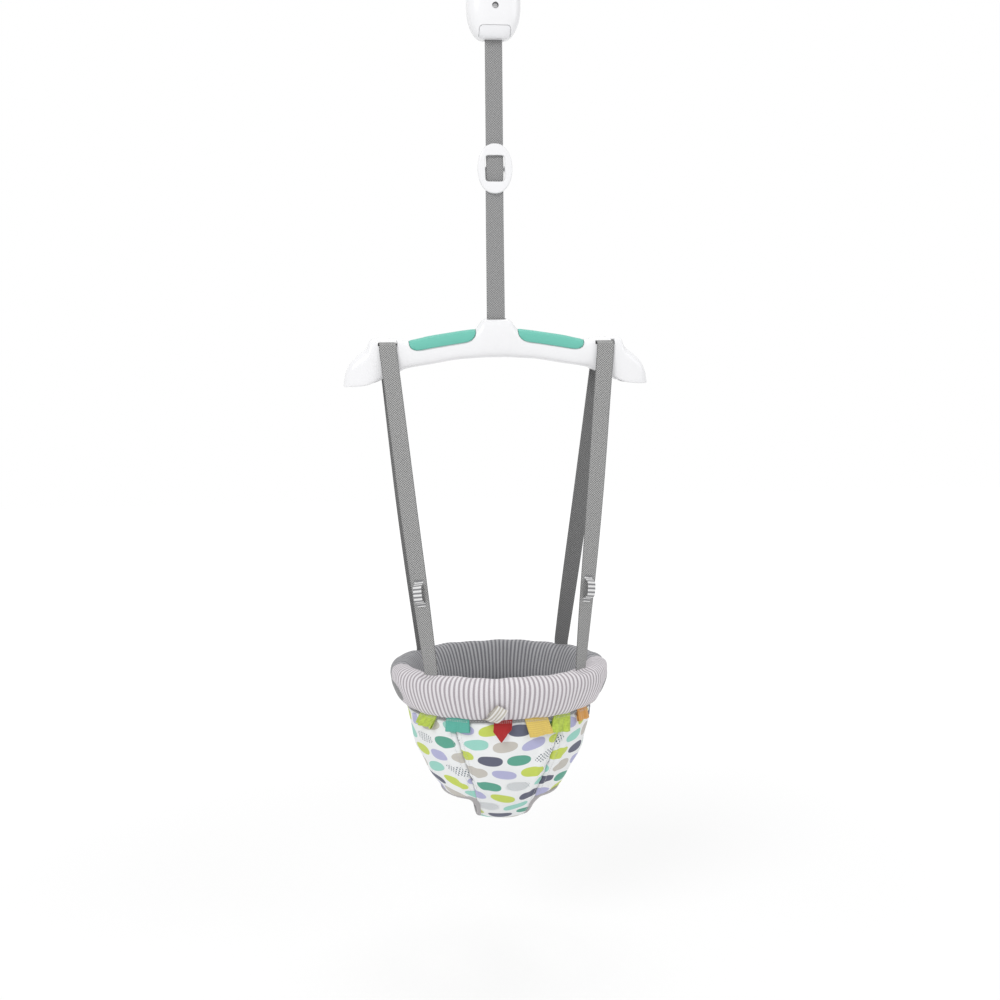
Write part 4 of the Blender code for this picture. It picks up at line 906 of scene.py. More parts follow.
def make_jaw(name, side, knuckle_x):
    """A flanged arm with its knuckles and plate, and the grooved pad on it."""
    half = arm_width / 2
    lip = half - arm_flange_wall
    web = arm_web / 2
    bevel = web * 0.5
    section = [(-half, -bevel), (-half + bevel, -web), (half - bevel, -web), (half, -bevel),
               (half, arm_flange), (lip, arm_flange),
               (lip, web), (-lip, web), (-lip, arm_flange), (-half, arm_flange)]
    arm = loft_data(section_rings(jaw_path(side, 7), along_x * -side, section))
    arm = new_piece(f"{name}_arm_shell", arm)
    pin = at(z=jaw_pin_z)
    pad_back = jaw_opening / 2 + pad_thickness
    joined = [tool(slab_rings(side, pad_back + gap, pad_back + gap + pad_plate_thickness,
                              pad_plate_bevel))]
    leg_end = jaw_path(side, 2)[1]
    rounded = knuckle_radius - knuckle_edge
    knuckle = [(0, rounded), (knuckle_edge, knuckle_radius), (knuckle_width - knuckle_edge, knuckle_radius),
               (knuckle_width, rounded)]
    wide = knuckle_width / 2
    deep = knuckle_radius * 1.3 / 2
    for x in (-knuckle_x, knuckle_x):
        joined.append(tool(round_rings(pin + at(x - knuckle_width / 2), along_x, knuckle, 48)))
        joined.append(tool(section_rings([pin + at(x), leg_end + at(x)], along_x, [
            (-wide, -deep), (wide, -deep), (wide, deep), (-wide, deep)])))
    hole = rod_tool(pin - at(arm_width), 2 * arm_width, jaw_pin_radius + gap, 32)
    work(arm, ("UNION", joined), ("DIFFERENCE", [hole]))
    dress(arm, name, white, f"{name}_arm")
    pad = new_piece(f"{name}_pad_grip", loft_data(slab_rings(side, jaw_opening / 2, pad_back, pad_bevel)))
    grooves = []
    for step in (-1.5, -0.5, 0.5, 1.5):
        z = step * pad_groove_pitch
        grooves.append(box_tool(
            (-pad_width, side * (jaw_opening / 2 - overrun), z - pad_groove_height / 2),
            (pad_width, side * (jaw_opening / 2 + pad_groove_depth), z + pad_groove_height / 2)))
    work(pad, ("DIFFERENCE", grooves))
    dress(pad, name, rubber, f"{name}_pad")


def make_jaw_spring():
    """The torsion spring round the pin: its coil stays, and each leg goes with its jaw."""
    sides = 10
    section = [(jaw_spring_wire / 2 * cos(tau * j / sides), jaw_spring_wire / 2 * sin(tau * j / sides))
               for j in range(sides)]
    count = round(jaw_spring_turns * coil_points)
    coil = []
    for i in range(count + 1):
        angle = pi + tau * i / coil_points
        coil.append(at(jaw_spring_length * (i / count - 0.5), jaw_spring_radius * cos(angle),
                       jaw_pin_z + jaw_spring_radius * sin(angle)))
    piece = new_piece("jaw_coil", loft_data(section_rings(coil, along_x, section)), 60)
    dress(piece, "clamp", steel, "jaw_spring")
    offset = arm_web / 2 + jaw_spring_wire / 2 + gap
    for side, end, body in ((-1, coil[0], "front_jaw"), (1, coil[-1], "rear_jaw")):
        arm = jaw_path(side, 7)
        leg = [end]
        for i in (0, round(jaw_spring_leg_share * (len(arm) - 1))):
            along = direction_at(arm, i)
            inner = at(0, -side * along.z, side * along.y)
            leg.append(arm[i] + inner * offset + at(side * jaw_spring_length / 2))
        piece = new_piece(f"{body}_spring_leg", loft_data(section_rings(leg, along_x, section)), 60)
        dress(piece, body, steel)


# Spring housing

def housing_section(rise, inset, sides):
    """The housing's outline at a height: rounded in at its foot and at its top edge."""
    swell = 1.0
    if rise < housing_round:
        swell = sqrt(1 - (1 - max(rise, 0) / housing_round) ** 2)
    half_width = housing_foot_width / 2 + (housing_width - housing_foot_width) / 2 * swell - inset
    half_depth = housing_foot_depth / 2 + (housing_depth - housing_foot_depth) / 2 * swell - inset
    into_top = rise - (housing_height - housing_top_round)
    if into_top > 0:
        tuck = housing_top_round * (1 - sqrt(max(1 - (into_top / housing_top_round) ** 2, 0)))
        half_width -= tuck
        half_depth -= tuck
    ring = []
    for i in range(sides):
        x, y = squircle(tau * i / sides, half_width, half_depth, housing_power)
        ring.append(at(x, y, exit_z + rise))
    return ring


def housing_rings(inset, low, high, sides=96):
    rises = [housing_round * (1 - cos(radians(3 + angle))) for angle in range(0, 88, 4)]
    rises += [housing_height - housing_top_round * (1 - sin(radians(angle))) for angle in range(0, 91, 15)]
    rises = [low] + [rise for rise in rises if low < rise < high] + [high]
    return [housing_section(rise, inset, sides) for rise in rises]


def cover_outline(grow, back):
    """The inset cover's outline, from well before the housing to its back."""
    half = cover_width / 2 + grow
    corner = cover_corner + grow
    top = exit_z + cover_height + grow
    outline = [(-half, exit_z - overrun), (half, exit_z - overrun)]
    for x, start in ((half - corner, 0), (corner - half, 90)):
        for step in range(13):
            angle = radians(start + 7.5 * step)
            outline.append((x + corner * cos(angle), top - corner + corner * sin(angle)))
    return [[at(x, y, z) for x, z in outline] for y in (-housing_depth / 2 - overrun, back)]


def screw_well(head, axis, length):
    """The room that a screw and its driver need."""
    return tool(round_rings(head, axis, [
        (-4 * overrun, screw_head_radius + gap), (screw_head_height + gap, screw_head_radius + gap),
        (screw_head_height + gap, screw_radius + gap), (length + gap, screw_radius + gap)], 40))


def make_screw(head, axis, length, body, node):
    """A pan head with a cross recess."""
    radius = screw_head_radius
    profile = [(0.0001, radius * 0.3), (0, radius * 0.55), (screw_head_height * 0.25, radius * 0.92),
               (screw_head_height * 0.5, radius), (screw_head_height, radius),
               (screw_head_height, screw_radius), (length, screw_radius)]
    screw = new_piece(f"{node}_head", loft_data(round_rings(head, axis, profile, 32)))
    arm = radius * 0.62
    thin = radius * 0.14
    near = head - overrun * axis
    deep = head + screw_head_height * 0.6 * axis
    work(screw, ("DIFFERENCE", [box_tool(near - at(x, 0, z), deep + at(x, 0, z))
                                for x, z in ((arm, thin), (thin, arm))]))
    dress(screw, body, steel, node)


def make_housing():
    """Two hollow shells with the ears for the jaw pin, their inset cover and their screws."""
    outer_depth = housing_depth / 2 + overrun
    outer_width = housing_width / 2 + overrun
    low = exit_z - overrun
    high = jaw_pin_z + knuckle_radius + overrun
    front = new_piece("housing_front_shell", loft_data(housing_rings(0, 0, housing_height)))
    rear = new_piece("housing_rear_shell", loft_data(housing_rings(0, 0, housing_height)))
    cavity = tool(housing_rings(wall, housing_floor, housing_height - wall, 48))
    front_room = box_tool((-outer_width, -gap / 2, low), (outer_width, outer_depth, high))
    rear_room = box_tool((-outer_width, -outer_depth, low), (outer_width, gap / 2, high))
    ears = []
    ear_rooms = []
    ear_x = front_knuckle_x + knuckle_width / 2 + 2 * gap
    foot = housing_top_z - ear_sink
    for hand in (-1, 1):
        near, far = sorted((hand * ear_x, hand * (ear_x + ear_thickness)))
        ears.append(box_tool((near, -ear_depth / 2, foot), (far, ear_depth / 2, jaw_pin_z)))
        ears.append(rod_tool(at(near, 0, jaw_pin_z), ear_thickness, ear_depth / 2, 48))
        ear_rooms.append(box_tool((near - gap, -ear_depth / 2 - gap, foot - gap),
                                  (far + gap, ear_depth, high)))
    pin_hole = rod_tool(at(-outer_width, 0, jaw_pin_z), 2 * outer_width, jaw_pin_radius + gap, 32)
    places = [(at(0, screw_sink - housing_depth / 2, exit_z + front_screw_rise), along_y, front_screw_length,
               "front_housing_screw")]
    for hand in (-1, 1):
        for rise in rear_screw_rises:
            head = at(hand * rear_screw_x, rear_screw_y, exit_z + rise)
            places.append((head, -along_y, screw_length, f"rear_housing_screw_{len(places)}"))
    wells = [screw_well(head, axis, length) for head, axis, length, _ in places]
    cover_back = -housing_foot_depth / 2 + overrun / 2
    pocket = tool(cover_outline(cover_room, cover_back))
    work(pocket, ("DIFFERENCE", [tool(housing_rings(cover_thickness + gap, -overrun, housing_height))]))
    bush_width = web_width / 2 + guide_room + guide_wall + gap
    bush_depth = web_thickness / 2 + guide_room + guide_wall + gap
    bush_room = box_tool((-bush_width, -bush_depth, low),
                         (bush_width, bush_depth, exit_z + housing_floor + overrun))
    work(front, ("DIFFERENCE", [front_room, cavity] + ear_rooms + wells[:1] + [pocket, bush_room]))
    work(rear, ("DIFFERENCE", [rear_room, cavity]), ("UNION", ears),
         ("DIFFERENCE", [pin_hole, bush_room] + wells[1:]))
    cover = new_piece("housing_cover_shell", loft_data(cover_outline(0, cover_back - gap)))
    work(cover, ("INTERSECT", [tool(housing_rings(cover_sink, gap, housing_height))]),
         ("DIFFERENCE", [tool(housing_rings(cover_thickness, -overrun, housing_height))]))
    dress(front, "clamp", white, "housing_front")
    dress(rear, "clamp", white, "housing_rear")
    dress(cover, "clamp", trim, "housing_cover")
    for head, axis, length, node in places:
        make_screw(head, axis, length, "clamp", node)


def make_bounce_spring():
    """The coil with its closed ends; the real one shortens as the strap is pulled down, this one keeps its
    length.
    """
    low = exit_z + housing_floor + gap + bounce_wire / 2
    high = low + bounce_length - 2 * gap - bounce_wire
    dead = bounce_wire + layer_gap
    active = (high - low - 2 * dead) / (bounce_turns - 2)
    path = []
    for i in range(bounce_turns * coil_points + 1):
        turn = i / coil_points
        z = low + dead * min(turn, 1) + active * min(max(turn - 1, 0), bounce_turns - 2)
        z += dead * max(turn - (bounce_turns - 1), 0)
        path.append(at(bounce_radius * cos(tau * turn), bounce_radius * sin(tau * turn), z))
    coil = new_piece("bounce_coil", loft_data(tube_rings(path, bounce_wire / 2, 10)))
    dress(coil, "clamp", steel, "bounce_spring")
    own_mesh(coil)


# Main strap and its buckle

def bend_strap(name, path):
    """A length of the main strap between the two bodies of one joint, baked where it is."""
    piece = band(name, path, along_x, web_width, web_thickness)
    piece.data.materials.append(webbing)
    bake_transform(piece)
    return piece


def part_between(first, second, z):
    return first.lerp(second, (z - first.z) / (second.z - first.z))


def make_main_strap():
    """Lengths that meet edge to edge: in the housing, out of it, to the buckle, and round the roller."""
    top_wrap = strap_pin_radius + gap + web_thickness / 2
    top = at(z=strap_pin_z)
    split = exit_z + strap_split_rise
    head = [at(0, layer_pitch, strap_pin_z - strap_tail), at(0, layer_pitch, strap_pin_z - 3 * top_wrap)]
    head += arc_points(top, top_wrap, 0, 180, 12)
    head += [at(z=strap_pin_z - 3 * top_wrap), at(z=split)]
    piece = band("strap_head", head, along_x, web_width, web_thickness)
    dress(piece, "plunger", webbing)

    below_exit = exit_z - strap_bend_length
    bend_strap("strap_exit", [at(z=split), at(z=exit_z), at(z=below_exit)])
    window_reach = strap_window_share * buckle_window_height / 2
    upper = [at(z=below_exit), at(z=buckle_z + buckle_height / 2 - strap_window_tuck)]
    for step in range(13):
        share = step / 12
        rise = strap_bulge * (sin(pi * share) ** 0.8)
        upper.append(at(0, -rise, buckle_z + window_reach * (1 - 2 * share)))
    piece = bend_strap("strap_upper", upper)
    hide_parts("main_strap")

    part_z = roller_z + strap_part_rise
    wrap = roller_radius + gap + web_thickness / 2
    down = [upper[-1], at(z=buckle_z - buckle_height / 2), at(z=buckle_z - buckle_height)]
    turned = arc_points(at(z=roller_z), wrap, 180, 360, 16)
    bar = at(0, buckle_bar_y, buckle_z)
    back = bar + at(0, layer_pitch / 2, -4 * buckle_wrap)
    front_part = part_between(down[-1], turned[0], part_z)
    rear_part = part_between(back, turned[-1], part_z)
    bend_strap("strap_front", down + [front_part])
    bend_strap("strap_turn", [front_part] + turned + [rear_part])
    up = [rear_part, back] + arc_points(bar, buckle_wrap, -20, 200, 16)
    up += [bar + at(0, -layer_pitch / 2, -4 * buckle_wrap), bar + at(0, -layer_pitch / 2, -strap_tail)]
    bend_strap("strap_return", up)
    y = buckle_bar_y + layer_pitch / 2 + web_thickness / 2
    for number, drop in enumerate(strap_stitch_drops):
        row = [at(-web_width * 0.42, y, buckle_z - drop), at(web_width * 0.42, y, buckle_z - drop)]
        stitches(f"strap_stitch_{number}", row, [along_y, along_y], "buckle", thread_grey, "webbing")


def make_buckle():
    """An oval frame with rounded edges round its window, and the bar behind it."""
    front = -(web_thickness / 2 + gap)
    back = front - buckle_thickness
    rings = []
    for i in range(128):
        angle = tau * i / 128
        ox, oz = squircle(angle, buckle_width / 2, buckle_height / 2, buckle_power)
        wx, wz = squircle(angle, buckle_window_width / 2, buckle_window_height / 2, window_power)
        outer = at(ox, 0, oz + buckle_z)
        inner = at(wx, 0, wz + buckle_z)
        inward = (inner - outer).normalized()
        edge = min(buckle_edge * 1.25, (inner - outer).length / 2.4)
        ring = [outer + at(y=front)]
        for start, way, reach in ((outer, inward, edge), (inner, -inward, edge * 0.6)):
            bend = []
            for step in range(6):
                turn = radians(18 * step)
                bend.append(start + way * (reach * (1 - cos(turn))) + at(y=back + reach * (1 - sin(turn))))
            ring += bend if start is outer else bend[::-1]
        rings.append(ring + [inner + at(y=front)])
    piece = new_piece("buckle_frame", loft_data(rings, closed=True))
    half = buckle_window_width / 2 + buckle_post_width
    joined = []
    for hand in (-1, 1):
        joined.append(box_tool(
            (hand * (half - buckle_post_width), front - buckle_edge, buckle_z - buckle_post_width),
            (hand * (half + buckle_post_width / 2), buckle_bar_y + buckle_bar_radius,
             buckle_z + buckle_post_width)))
    joined.append(rod_tool(at(-half, buckle_bar_y, buckle_z), 2 * half, buckle_bar_radius, 40))
    work(piece, ("UNION", joined), smooth_angle=50)
    dress(piece, "buckle", white, "adjuster_buckle")


# Spreader bar

station_x = np.array([row[0] for row in bar_station_shares])
station_values = np.array([row[1:] for row in bar_station_shares])


def station_slopes():
    """Slopes that keep a smooth curve through the stations without overshoot."""
    steps = np.diff(station_x)[:, None]
    rates = np.diff(station_values, axis=0) / steps
    slopes = np.zeros_like(station_values)
    for i in range(1, len(station_x) - 1):
        before = rates[i - 1]
        after = rates[i]
        same = before * after > 0
        slopes[i] = np.where(same, 2 * before * after / np.where(same, before + after, 1), 0)
    slopes[-1] = rates[-1]
    return slopes


bar_slopes = station_slopes()


def bar_sizes(share):
    """The bar's top, underside and half depth at a share of its half length."""
    share = min(abs(share), 1.0)
    i = int(min(np.searchsorted(station_x, share, "right") - 1, len(station_x) - 2))
    width = station_x[i + 1] - station_x[i]
    t = (share - station_x[i]) / width
    value = ((2 * t ** 3 - 3 * t ** 2 + 1) * station_values[i]
             + (t ** 3 - 2 * t ** 2 + t) * width * bar_slopes[i]
             + (-2 * t ** 3 + 3 * t ** 2) * station_values[i + 1]
             + (t ** 3 - t ** 2) * width * bar_slopes[i + 1])
    top, low, depth = (float(number) for number in value)
    return boss_z - top * bar_height, boss_z - low * bar_height, depth * bar_half_depth


def bar_ring(share, inset, angles, shift=0.0):
    """The bar's outline at a share of its half length; the wings' undersides are flatter."""
    top, low, depth = bar_sizes(share)
    middle = (top + low) / 2
    skirt = (abs(share) - skirt_start_share) / (skirt_full_share - skirt_start_share)
    low_power = bar_power + (skirt_power - bar_power) * min(max(skirt, 0), 1)
    ring = []
    for angle in angles:
        power = low_power if sin(angle) < 0 else bar_power
        y, z = squircle(angle, depth - inset, (top - low) / 2 - inset, power)
        ring.append(at(share * bar_half_length + shift, y, middle + z))
    return ring


def full_turn(count):
    return [tau * (i + 0.5) / count for i in range(count)]


def grip_rings(hand, outer_inset, inner_inset, grow, edge=0.0):
    """A slab that follows the bar's top face between two insets, with rounded ends."""
    rings = []
    steps = 48
    count = 32
    spread = grow / bar_half_depth
    for i in range(steps + 1):
        s = 0.5 - 0.5 * cos(pi * i / steps)
        share = grip_inner_share + (grip_outer_share - grip_inner_share) * s
        shift = hand * grow * (2 * s - 1)
        round_in = sqrt(max(1 - abs(2 * s - 1) ** grip_end_power, 0))
        reach = grip_corner_angle + (grip_reach_angle - grip_corner_angle) * round_in + spread
        angles = [pi / 2 - reach + 2 * reach * j / count for j in range(count + 1)]
        outer = bar_ring(hand * share, outer_inset, angles, shift)
        inner = bar_ring(hand * share, inner_inset, angles, shift)
        if edge:
            end_fall = max(1 - min(s, 1 - s) * 2 * steps / 6, 0) ** 2
            for j in range(count + 1):
                side_fall = max(1 - min(j, count - j) / 2.0, 0) ** 2
                fall = min(end_fall + side_fall, 1) * edge
                outer[j] = outer[j].lerp(inner[j], fall)
        rings.append(outer + inner[::-1])
    return rings


def hollow_rings(hand):
    rings = []
    for i in range(16):
        share = hollow_inner_share + (hollow_outer_share - hollow_inner_share) * i / 15
        ring = bar_ring(hand * share, wall, full_turn(24))
        top, low, _ = bar_sizes(share)
        for point in ring:
            if point.z < (low + top) / 2:
                point.z = low - overrun
        rings.append(ring)
    return rings


def bar_tools():
    """What is cut out of both of the bar's shells."""
    tools = []
    slot_half = web_width / 2 + slot_room
    depth = bar_half_depth + overrun
    pin_length = end_pin_length + 2 * gap
    for hand in (-1, 1):
        tools.append(tool(hollow_rings(hand)))
        tools.append(tool(grip_rings(hand, -overrun / 2, grip_thickness + gap, grip_room)))
        x = hand * slot_out
        tools.append(box_tool((x - slot_half, -depth, slot_z - slot_height / 2 - slot_swing_room),
                              (x + slot_half, depth, slot_z + slot_height / 2)))
        tools.append(rod_tool(at(x - pin_length / 2, 0, end_pin_z), pin_length, end_pin_radius + gap, 32))
    bay_half = web_width / 2 + boss_slot_room
    bay_low = roller_z - roller_radius - gap - web_thickness - boss_slot_room
    tools.append(box_tool((-bay_half, -boss_slot_half_depth, bay_low),
                          (bay_half, boss_slot_half_depth, boss_z + overrun)))
    pin_length = roller_pin_length + 2 * gap
    tools.append(rod_tool(at(-pin_length / 2, 0, roller_z), pin_length, roller_pin_radius + gap, 32))
    return tools


def make_bar():
    shares = []
    for i in range(len(station_x) - 1):
        count = max(int((station_x[i + 1] - station_x[i]) / bar_ring_spacing), 2)
        shares += [station_x[i] + (station_x[i + 1] - station_x[i]) * k / count for k in range(count)]
    shares = [float(share) for share in shares] + [1.0]
    shares = [-share for share in reversed(shares[1:])] + shares
    ends = [bar_ring(hand, bar_end_inset, full_turn(56), hand * bar_end_reach) for hand in (-1, 1)]
    rings = ends[:1] + [bar_ring(share, 0, full_turn(56)) for share in shares] + ends[1:]
    tools = bar_tools()
    places = []
    for share, drop in zip(bar_screw_shares, bar_screw_drop_shares):
        depth = bar_sizes(share)[2]
        for hand in (-1, 1):
            head = at(hand * share * bar_half_length, depth - bar_screw_sink, boss_z - drop * bar_height)
            places.append(head)
            tools.append(screw_well(head, -along_y, bar_screw_length))
    for node, side in (("bar_front", -1), ("bar_rear", 1)):
        shell = new_piece(f"{node}_shell", loft_data(rings))
        room = box_tool((-bar_half_length - overrun, side * gap / 2, boss_z - bar_height - overrun),
                        (bar_half_length + overrun, -side * (bar_half_depth + overrun), boss_z + overrun))
        work(shell, ("DIFFERENCE", [room] + tools), smooth_angle=40)
        dress(shell, "bar", white, node)
    for number, head in enumerate(places, 1):
        make_screw(head, -along_y, bar_screw_length, "bar", f"bar_screw_{number}")
    for name, hand in (("left_grip", -1), ("right_grip", 1)):
        rings = grip_rings(hand, -grip_proud, grip_thickness, 0, grip_edge)
        dress(new_piece(f"{name}_inlay", loft_data(rings), 60), "bar", teal, name)


# Side straps and toy loops

def strap_seat(hand, side):
    """Where a side strap goes round the hoop, with the hoop's direction there and outwards."""
    turn = atan2(strap_seat_back / hoop_half_depth, strap_seat_across / hoop_half_width)
    place = at(hand * hoop_half_width * cos(turn), side * hoop_half_depth * sin(turn), hoop_z)
    along = at(hoop_half_width * sin(turn), -hand * side * hoop_half_depth * cos(turn)).normalized()
    outward = at(hand * cos(turn) / hoop_half_width, side * sin(turn) / hoop_half_depth).normalized()
    return place, along, outward


def strap_leg(hand, side):
    """One run of a side strap, from the bar's slot over its lip and down to the hoop."""
    face = bar_sizes(slot_out / bar_half_length)[2]
    clear = face + strap_clear + web_thickness / 2
    x = hand * slot_out
    bend = [at(x, 0, slot_z), at(x, side * face * 0.5, slot_z),
            at(x, side * face * 0.9, slot_z - strap_lip_drop * 0.14),
            at(x, side * clear * 0.985, slot_z - strap_lip_drop * 0.45),
            at(x, side * clear, slot_z - strap_lip_drop)]
    place, ring_along, outward = strap_seat(hand, side)
    lip = bend[-1]
    foot = place + outward * (layer_pitch / 2) + along_z * (3.2 * hoop_wrap)
    path = smooth_path(bend, 6)
    across = [along_x.copy() for _ in path]
    steps = 60
    sway = at(hand * strap_sway_across, side * strap_sway_back)
    for i in range(1, steps + 1):
        s = i / steps
        path.append(lip.lerp(foot, s) + sway * (sin(pi * s) ** 2))
        across.append(along_x.lerp(ring_along, s * s).normalized())
    path.append(place + outward * (layer_pitch / 2))
    across.append(ring_along)
    return path, across, (lip, foot, ring_along)


def make_side_strap(name, hand, node):
    front, front_across, _ = strap_leg(hand, -1)
    rear, rear_across, _ = strap_leg(hand, 1)
    piece = band(name, front[::-1] + rear[1:], front_across[::-1] + rear_across[1:],
                 web_width, web_thickness)
    dress(piece, "seat", side_webbing, node, slot="webbing")


def leg_frame(hand, down):
    """A point on a front leg below the toy loop's top, with the webbing's width and face there."""
    lip, foot, ring_along = strap_leg(hand, -1)[2]
    s = toy_loop_share + down / (foot - lip).length
    along = (foot - lip).normalized()
    across = along_x.lerp(ring_along, s * s)
    across = (across - along * across.dot(along)).normalized()
    face = along.cross(across)
    face = face * copysign(1, -face.y)
    return lip.lerp(foot, s), across, face


def make_toy_loop(name, hand, node):
    """A striped ribbon sewn to the strap at both ends, standing off between them."""
    height = toy_loop_height
    rise = [(0, 0), (toy_loop_end, 0), (toy_loop_end + height * 0.06, toy_loop_stand * 0.5),
            (height * 0.26, toy_loop_stand * 0.9), (height * 0.42, toy_loop_stand)]
    profile = rise + [(height - down, out) for down, out in reversed(rise)]
    path = []
    across = []
    base = web_thickness / 2 + toy_loop_lift
    for down, out in profile:
        place, side, face = leg_frame(hand, down)
        path.append(place + face * (base + out))
        across.append(side)
    path = smooth_path(path, 6)
    sides = []
    for i in range(len(path)):
        share = i / (len(path) - 1) * (len(across) - 1)
        low = min(int(share), len(across) - 2)
        sides.append(across[low].lerp(across[low + 1], share - low))
    piece = band(name, path, sides, toy_loop_width, toy_loop_thickness, toy_loop_pitch)
    dress(piece, "seat", loop_stripes, node, slot="striped_cloth")
    length = sum((after - before).length for before, after in zip(path, path[1:]))
    for number, down in enumerate((toy_loop_end * 0.5, height - toy_loop_end * 0.5)):
        place, side, face = leg_frame(hand, down)
        out = place + face * (base + toy_loop_stitch_rise)
        reach = side * toy_loop_stitch_half
        stitches(f"{name}_stitch_{number}", [out - reach, out + reach], [face, face],
                 "seat", thread_grey, "webbing", loop_stitch)


# Seat ring

def pad_offset(angle, grow=0.0):
    """How far out and up from the ring's line the leaning padding's skin lies."""
    thick, tall = squircle(angle, ring_pad_thickness / 2 + grow, ring_pad_height / 2 + grow, ring_power)
    return (thick * cos(ring_lean) + tall * sin(ring_lean), tall * cos(ring_lean) - thick * sin(ring_lean))


def ring_place(turn, out, up):
    return at((ring_half_width + out) * cos(turn), (ring_half_depth + out) * sin(turn), ring_z + up)


foot_angle = min((tau * i / 16 for i in range(16)), key=lambda angle: pad_offset(angle)[1])
foot_out, foot_up = pad_offset(foot_angle)


def angle_gap(angle, other):
    return (angle - other + pi) % tau - pi


def bell(distance, width):
    """1 on a line, falling off to both sides of it."""
    return np.exp(-(distance / width) ** 2)


def fade(distance, length):
    """1 at an edge, falling off away from it."""
    return np.exp(-distance / length)


def pad_grow(turn, angle, end_distance):
    """How far the padding swells or draws in: seams at its foot, its ends and the straps' slits."""
    seam = angle_gap(angle, foot_angle) * ring_pad_thickness
    pucker = 0.5 + 0.3 * sin(turn * 71 + 1.3 * sin(turn * 17)) + 0.2 * sin(turn * 113 + 2)
    drawn = -pad_seam_depth * bell(seam, 0.004) - pad_pucker_depth * pucker * fade(abs(seam), 0.008)
    inner_seam = angle_gap(angle, foot_angle + pi) * ring_pad_thickness
    drawn += -pad_inner_seam_depth * bell(inner_seam, 0.004) - pad_end_depth * fade(end_distance, 0.0035)
    drawn += 0.0006 * sin(turn * 9 + 2 * sin(angle)) + 0.0004 * sin(turn * 23 + angle * 3)
    for hand in (-1, 1):
        for side in (-1, 1):
            place = strap_seat(hand, side)[0]
            seat_turn = atan2(place.y / ring_half_depth, place.x / ring_half_width)
            away = angle_gap(turn, seat_turn) * ring_half_depth
            top = angle_gap(angle, pi / 2) * ring_pad_thickness
            drawn += -pad_slit_depth * np.exp(-(away / 0.013) ** 4 - (top / 0.009) ** 2)
    return drawn + pad_swell


def make_pad(name, side, material, node):
    steps = 260
    columns = 72

    def place(j, i):
        turn = side * pi * i / steps
        angle = tau * j / columns
        end_distance = min(i, steps - i) / steps * pi * ring_half_depth
        return ring_place(turn, *pad_offset(angle, pad_grow(turn, angle, end_distance)))

    piece = skin(name, grid(columns, steps + 1, place), wrap_rows=True, flip=side > 0)
    dress(piece, "seat", material, node)


def make_patch(name, middle, node):
    rings = 14
    sides = 72

    def place(i, j):
        share = i / rings
        angle = tau * j / sides
        turn = middle + patch_half_width / ring_half_depth * share * cos(angle)
        tall = patch_half_height * share * sin(angle)
        reach = min(abs(tall) / (ring_pad_height / 2), 1) ** (ring_power / 2)
        section = copysign(atan2(reach, sqrt(max(1 - reach ** 2, 0))), tall)
        return ring_place(turn, *pad_offset(section, patch_lift * (1 - share ** 6) - patch_tuck))

    rows = grid(rings + 1, sides, place)
    piece = skin(name, rows, wrap_columns=True, caps=True)
    dress(piece, "seat", grey_cloth, node)
    ring = [Vector(point) for point in rows[rings - 2]]
    faces = [(point - at(z=ring_z)).normalized() for point in ring]
    stitches(f"{name}_stitch", ring + ring[:1], faces + faces[:1], "seat", thread_light, "grey_cloth")


def make_binding():
    """A folded tape round the ring's foot, with its row of stitches."""
    binding_up = foot_up - gap - binding_radius
    steps = 320
    sides = 20

    def place(i, j):
        turn = tau * i / steps
        angle = tau * j / sides
        thick, tall = squircle(angle, binding_half_thickness, binding_half_height, binding_power)
        thick += binding_ripple * sin(turn * 97 + angle)
        return ring_place(turn, foot_out + thick, binding_up + tall * 0.75)

    piece = skin("ring_binding", grid(steps, sides, place), wrap_rows=True, wrap_columns=True)
    dress(piece, "seat", grey_cloth, "seat_binding")
    line = [ring_place(tau * i / 240, foot_out + binding_stitch_out, binding_up) for i in range(241)]
    faces = [at(point.x, point.y).normalized() for point in line]
    stitches("ring_stitch", line, faces, "seat", thread_light, "grey_cloth", ring_stitch)


# Pouch

pouch_half_width = ring_half_width + foot_out
pouch_half_depth = ring_half_depth + foot_out
pouch_top = ring_z + foot_up - 2 * gap - 2 * binding_radius


def pouch_level(x, slope):
    """The share of the pouch's drop."""
    room = sqrt(1 - (x / pouch_half_width) ** 2)
    return max(room * cos(slope), 0) ** (2 / pouch_power)


def pouch_place(x, slope):
    room = sqrt(1 - (x / pouch_half_width) ** 2)
    return at(x, pouch_half_depth * room * sin(slope), pouch_top - pouch_drop * pouch_level(x, slope))


def pouch_normal(point):
    level = max((pouch_top - point.z) / pouch_drop, 0)
    return at(point.x / pouch_half_width ** 2, point.y / pouch_half_depth ** 2,
              -pouch_power / 2 * level ** (pouch_power - 1) / pouch_drop).normalized()


def panel_half(slope):
    return crotch_half_width + (panel_top_half_width - crotch_half_width) * abs(sin(slope)) ** panel_power


def level_place(level, turn_share, edge):
    shrink = sqrt(1 - level ** pouch_power)
    turn = acos(edge / (pouch_half_width * shrink)) * turn_share
    return at(pouch_half_width * shrink * cos(turn), pouch_half_depth * shrink * sin(turn),
              pouch_top - pouch_drop * level)


def seam_relief(distance, run, phase):
    """The drop beside a seam: a narrow valley and the puckers that its thread draws."""
    valley = seam_bank_height * bell(distance - 0.0055, 0.0030) - seam_depth * bell(distance, 0.0022)
    beat = 0.55 + 0.3 * np.sin(run / 0.0024 + 1.6 * np.sin(run / 0.009 + phase))
    beat = beat + 0.15 * np.sin(run / 0.0011)
    return valley - pucker_depth * beat * fade(distance, 0.011)


def sewn_share(slopes):
    """1 where a panel's side is sewn to its neighbour, 0 along a leg opening."""
    share = np.clip((np.abs(slopes) - leg_angle) / 0.16, 0, 1)
    return (share * share * (3 - 2 * share))[:, None]


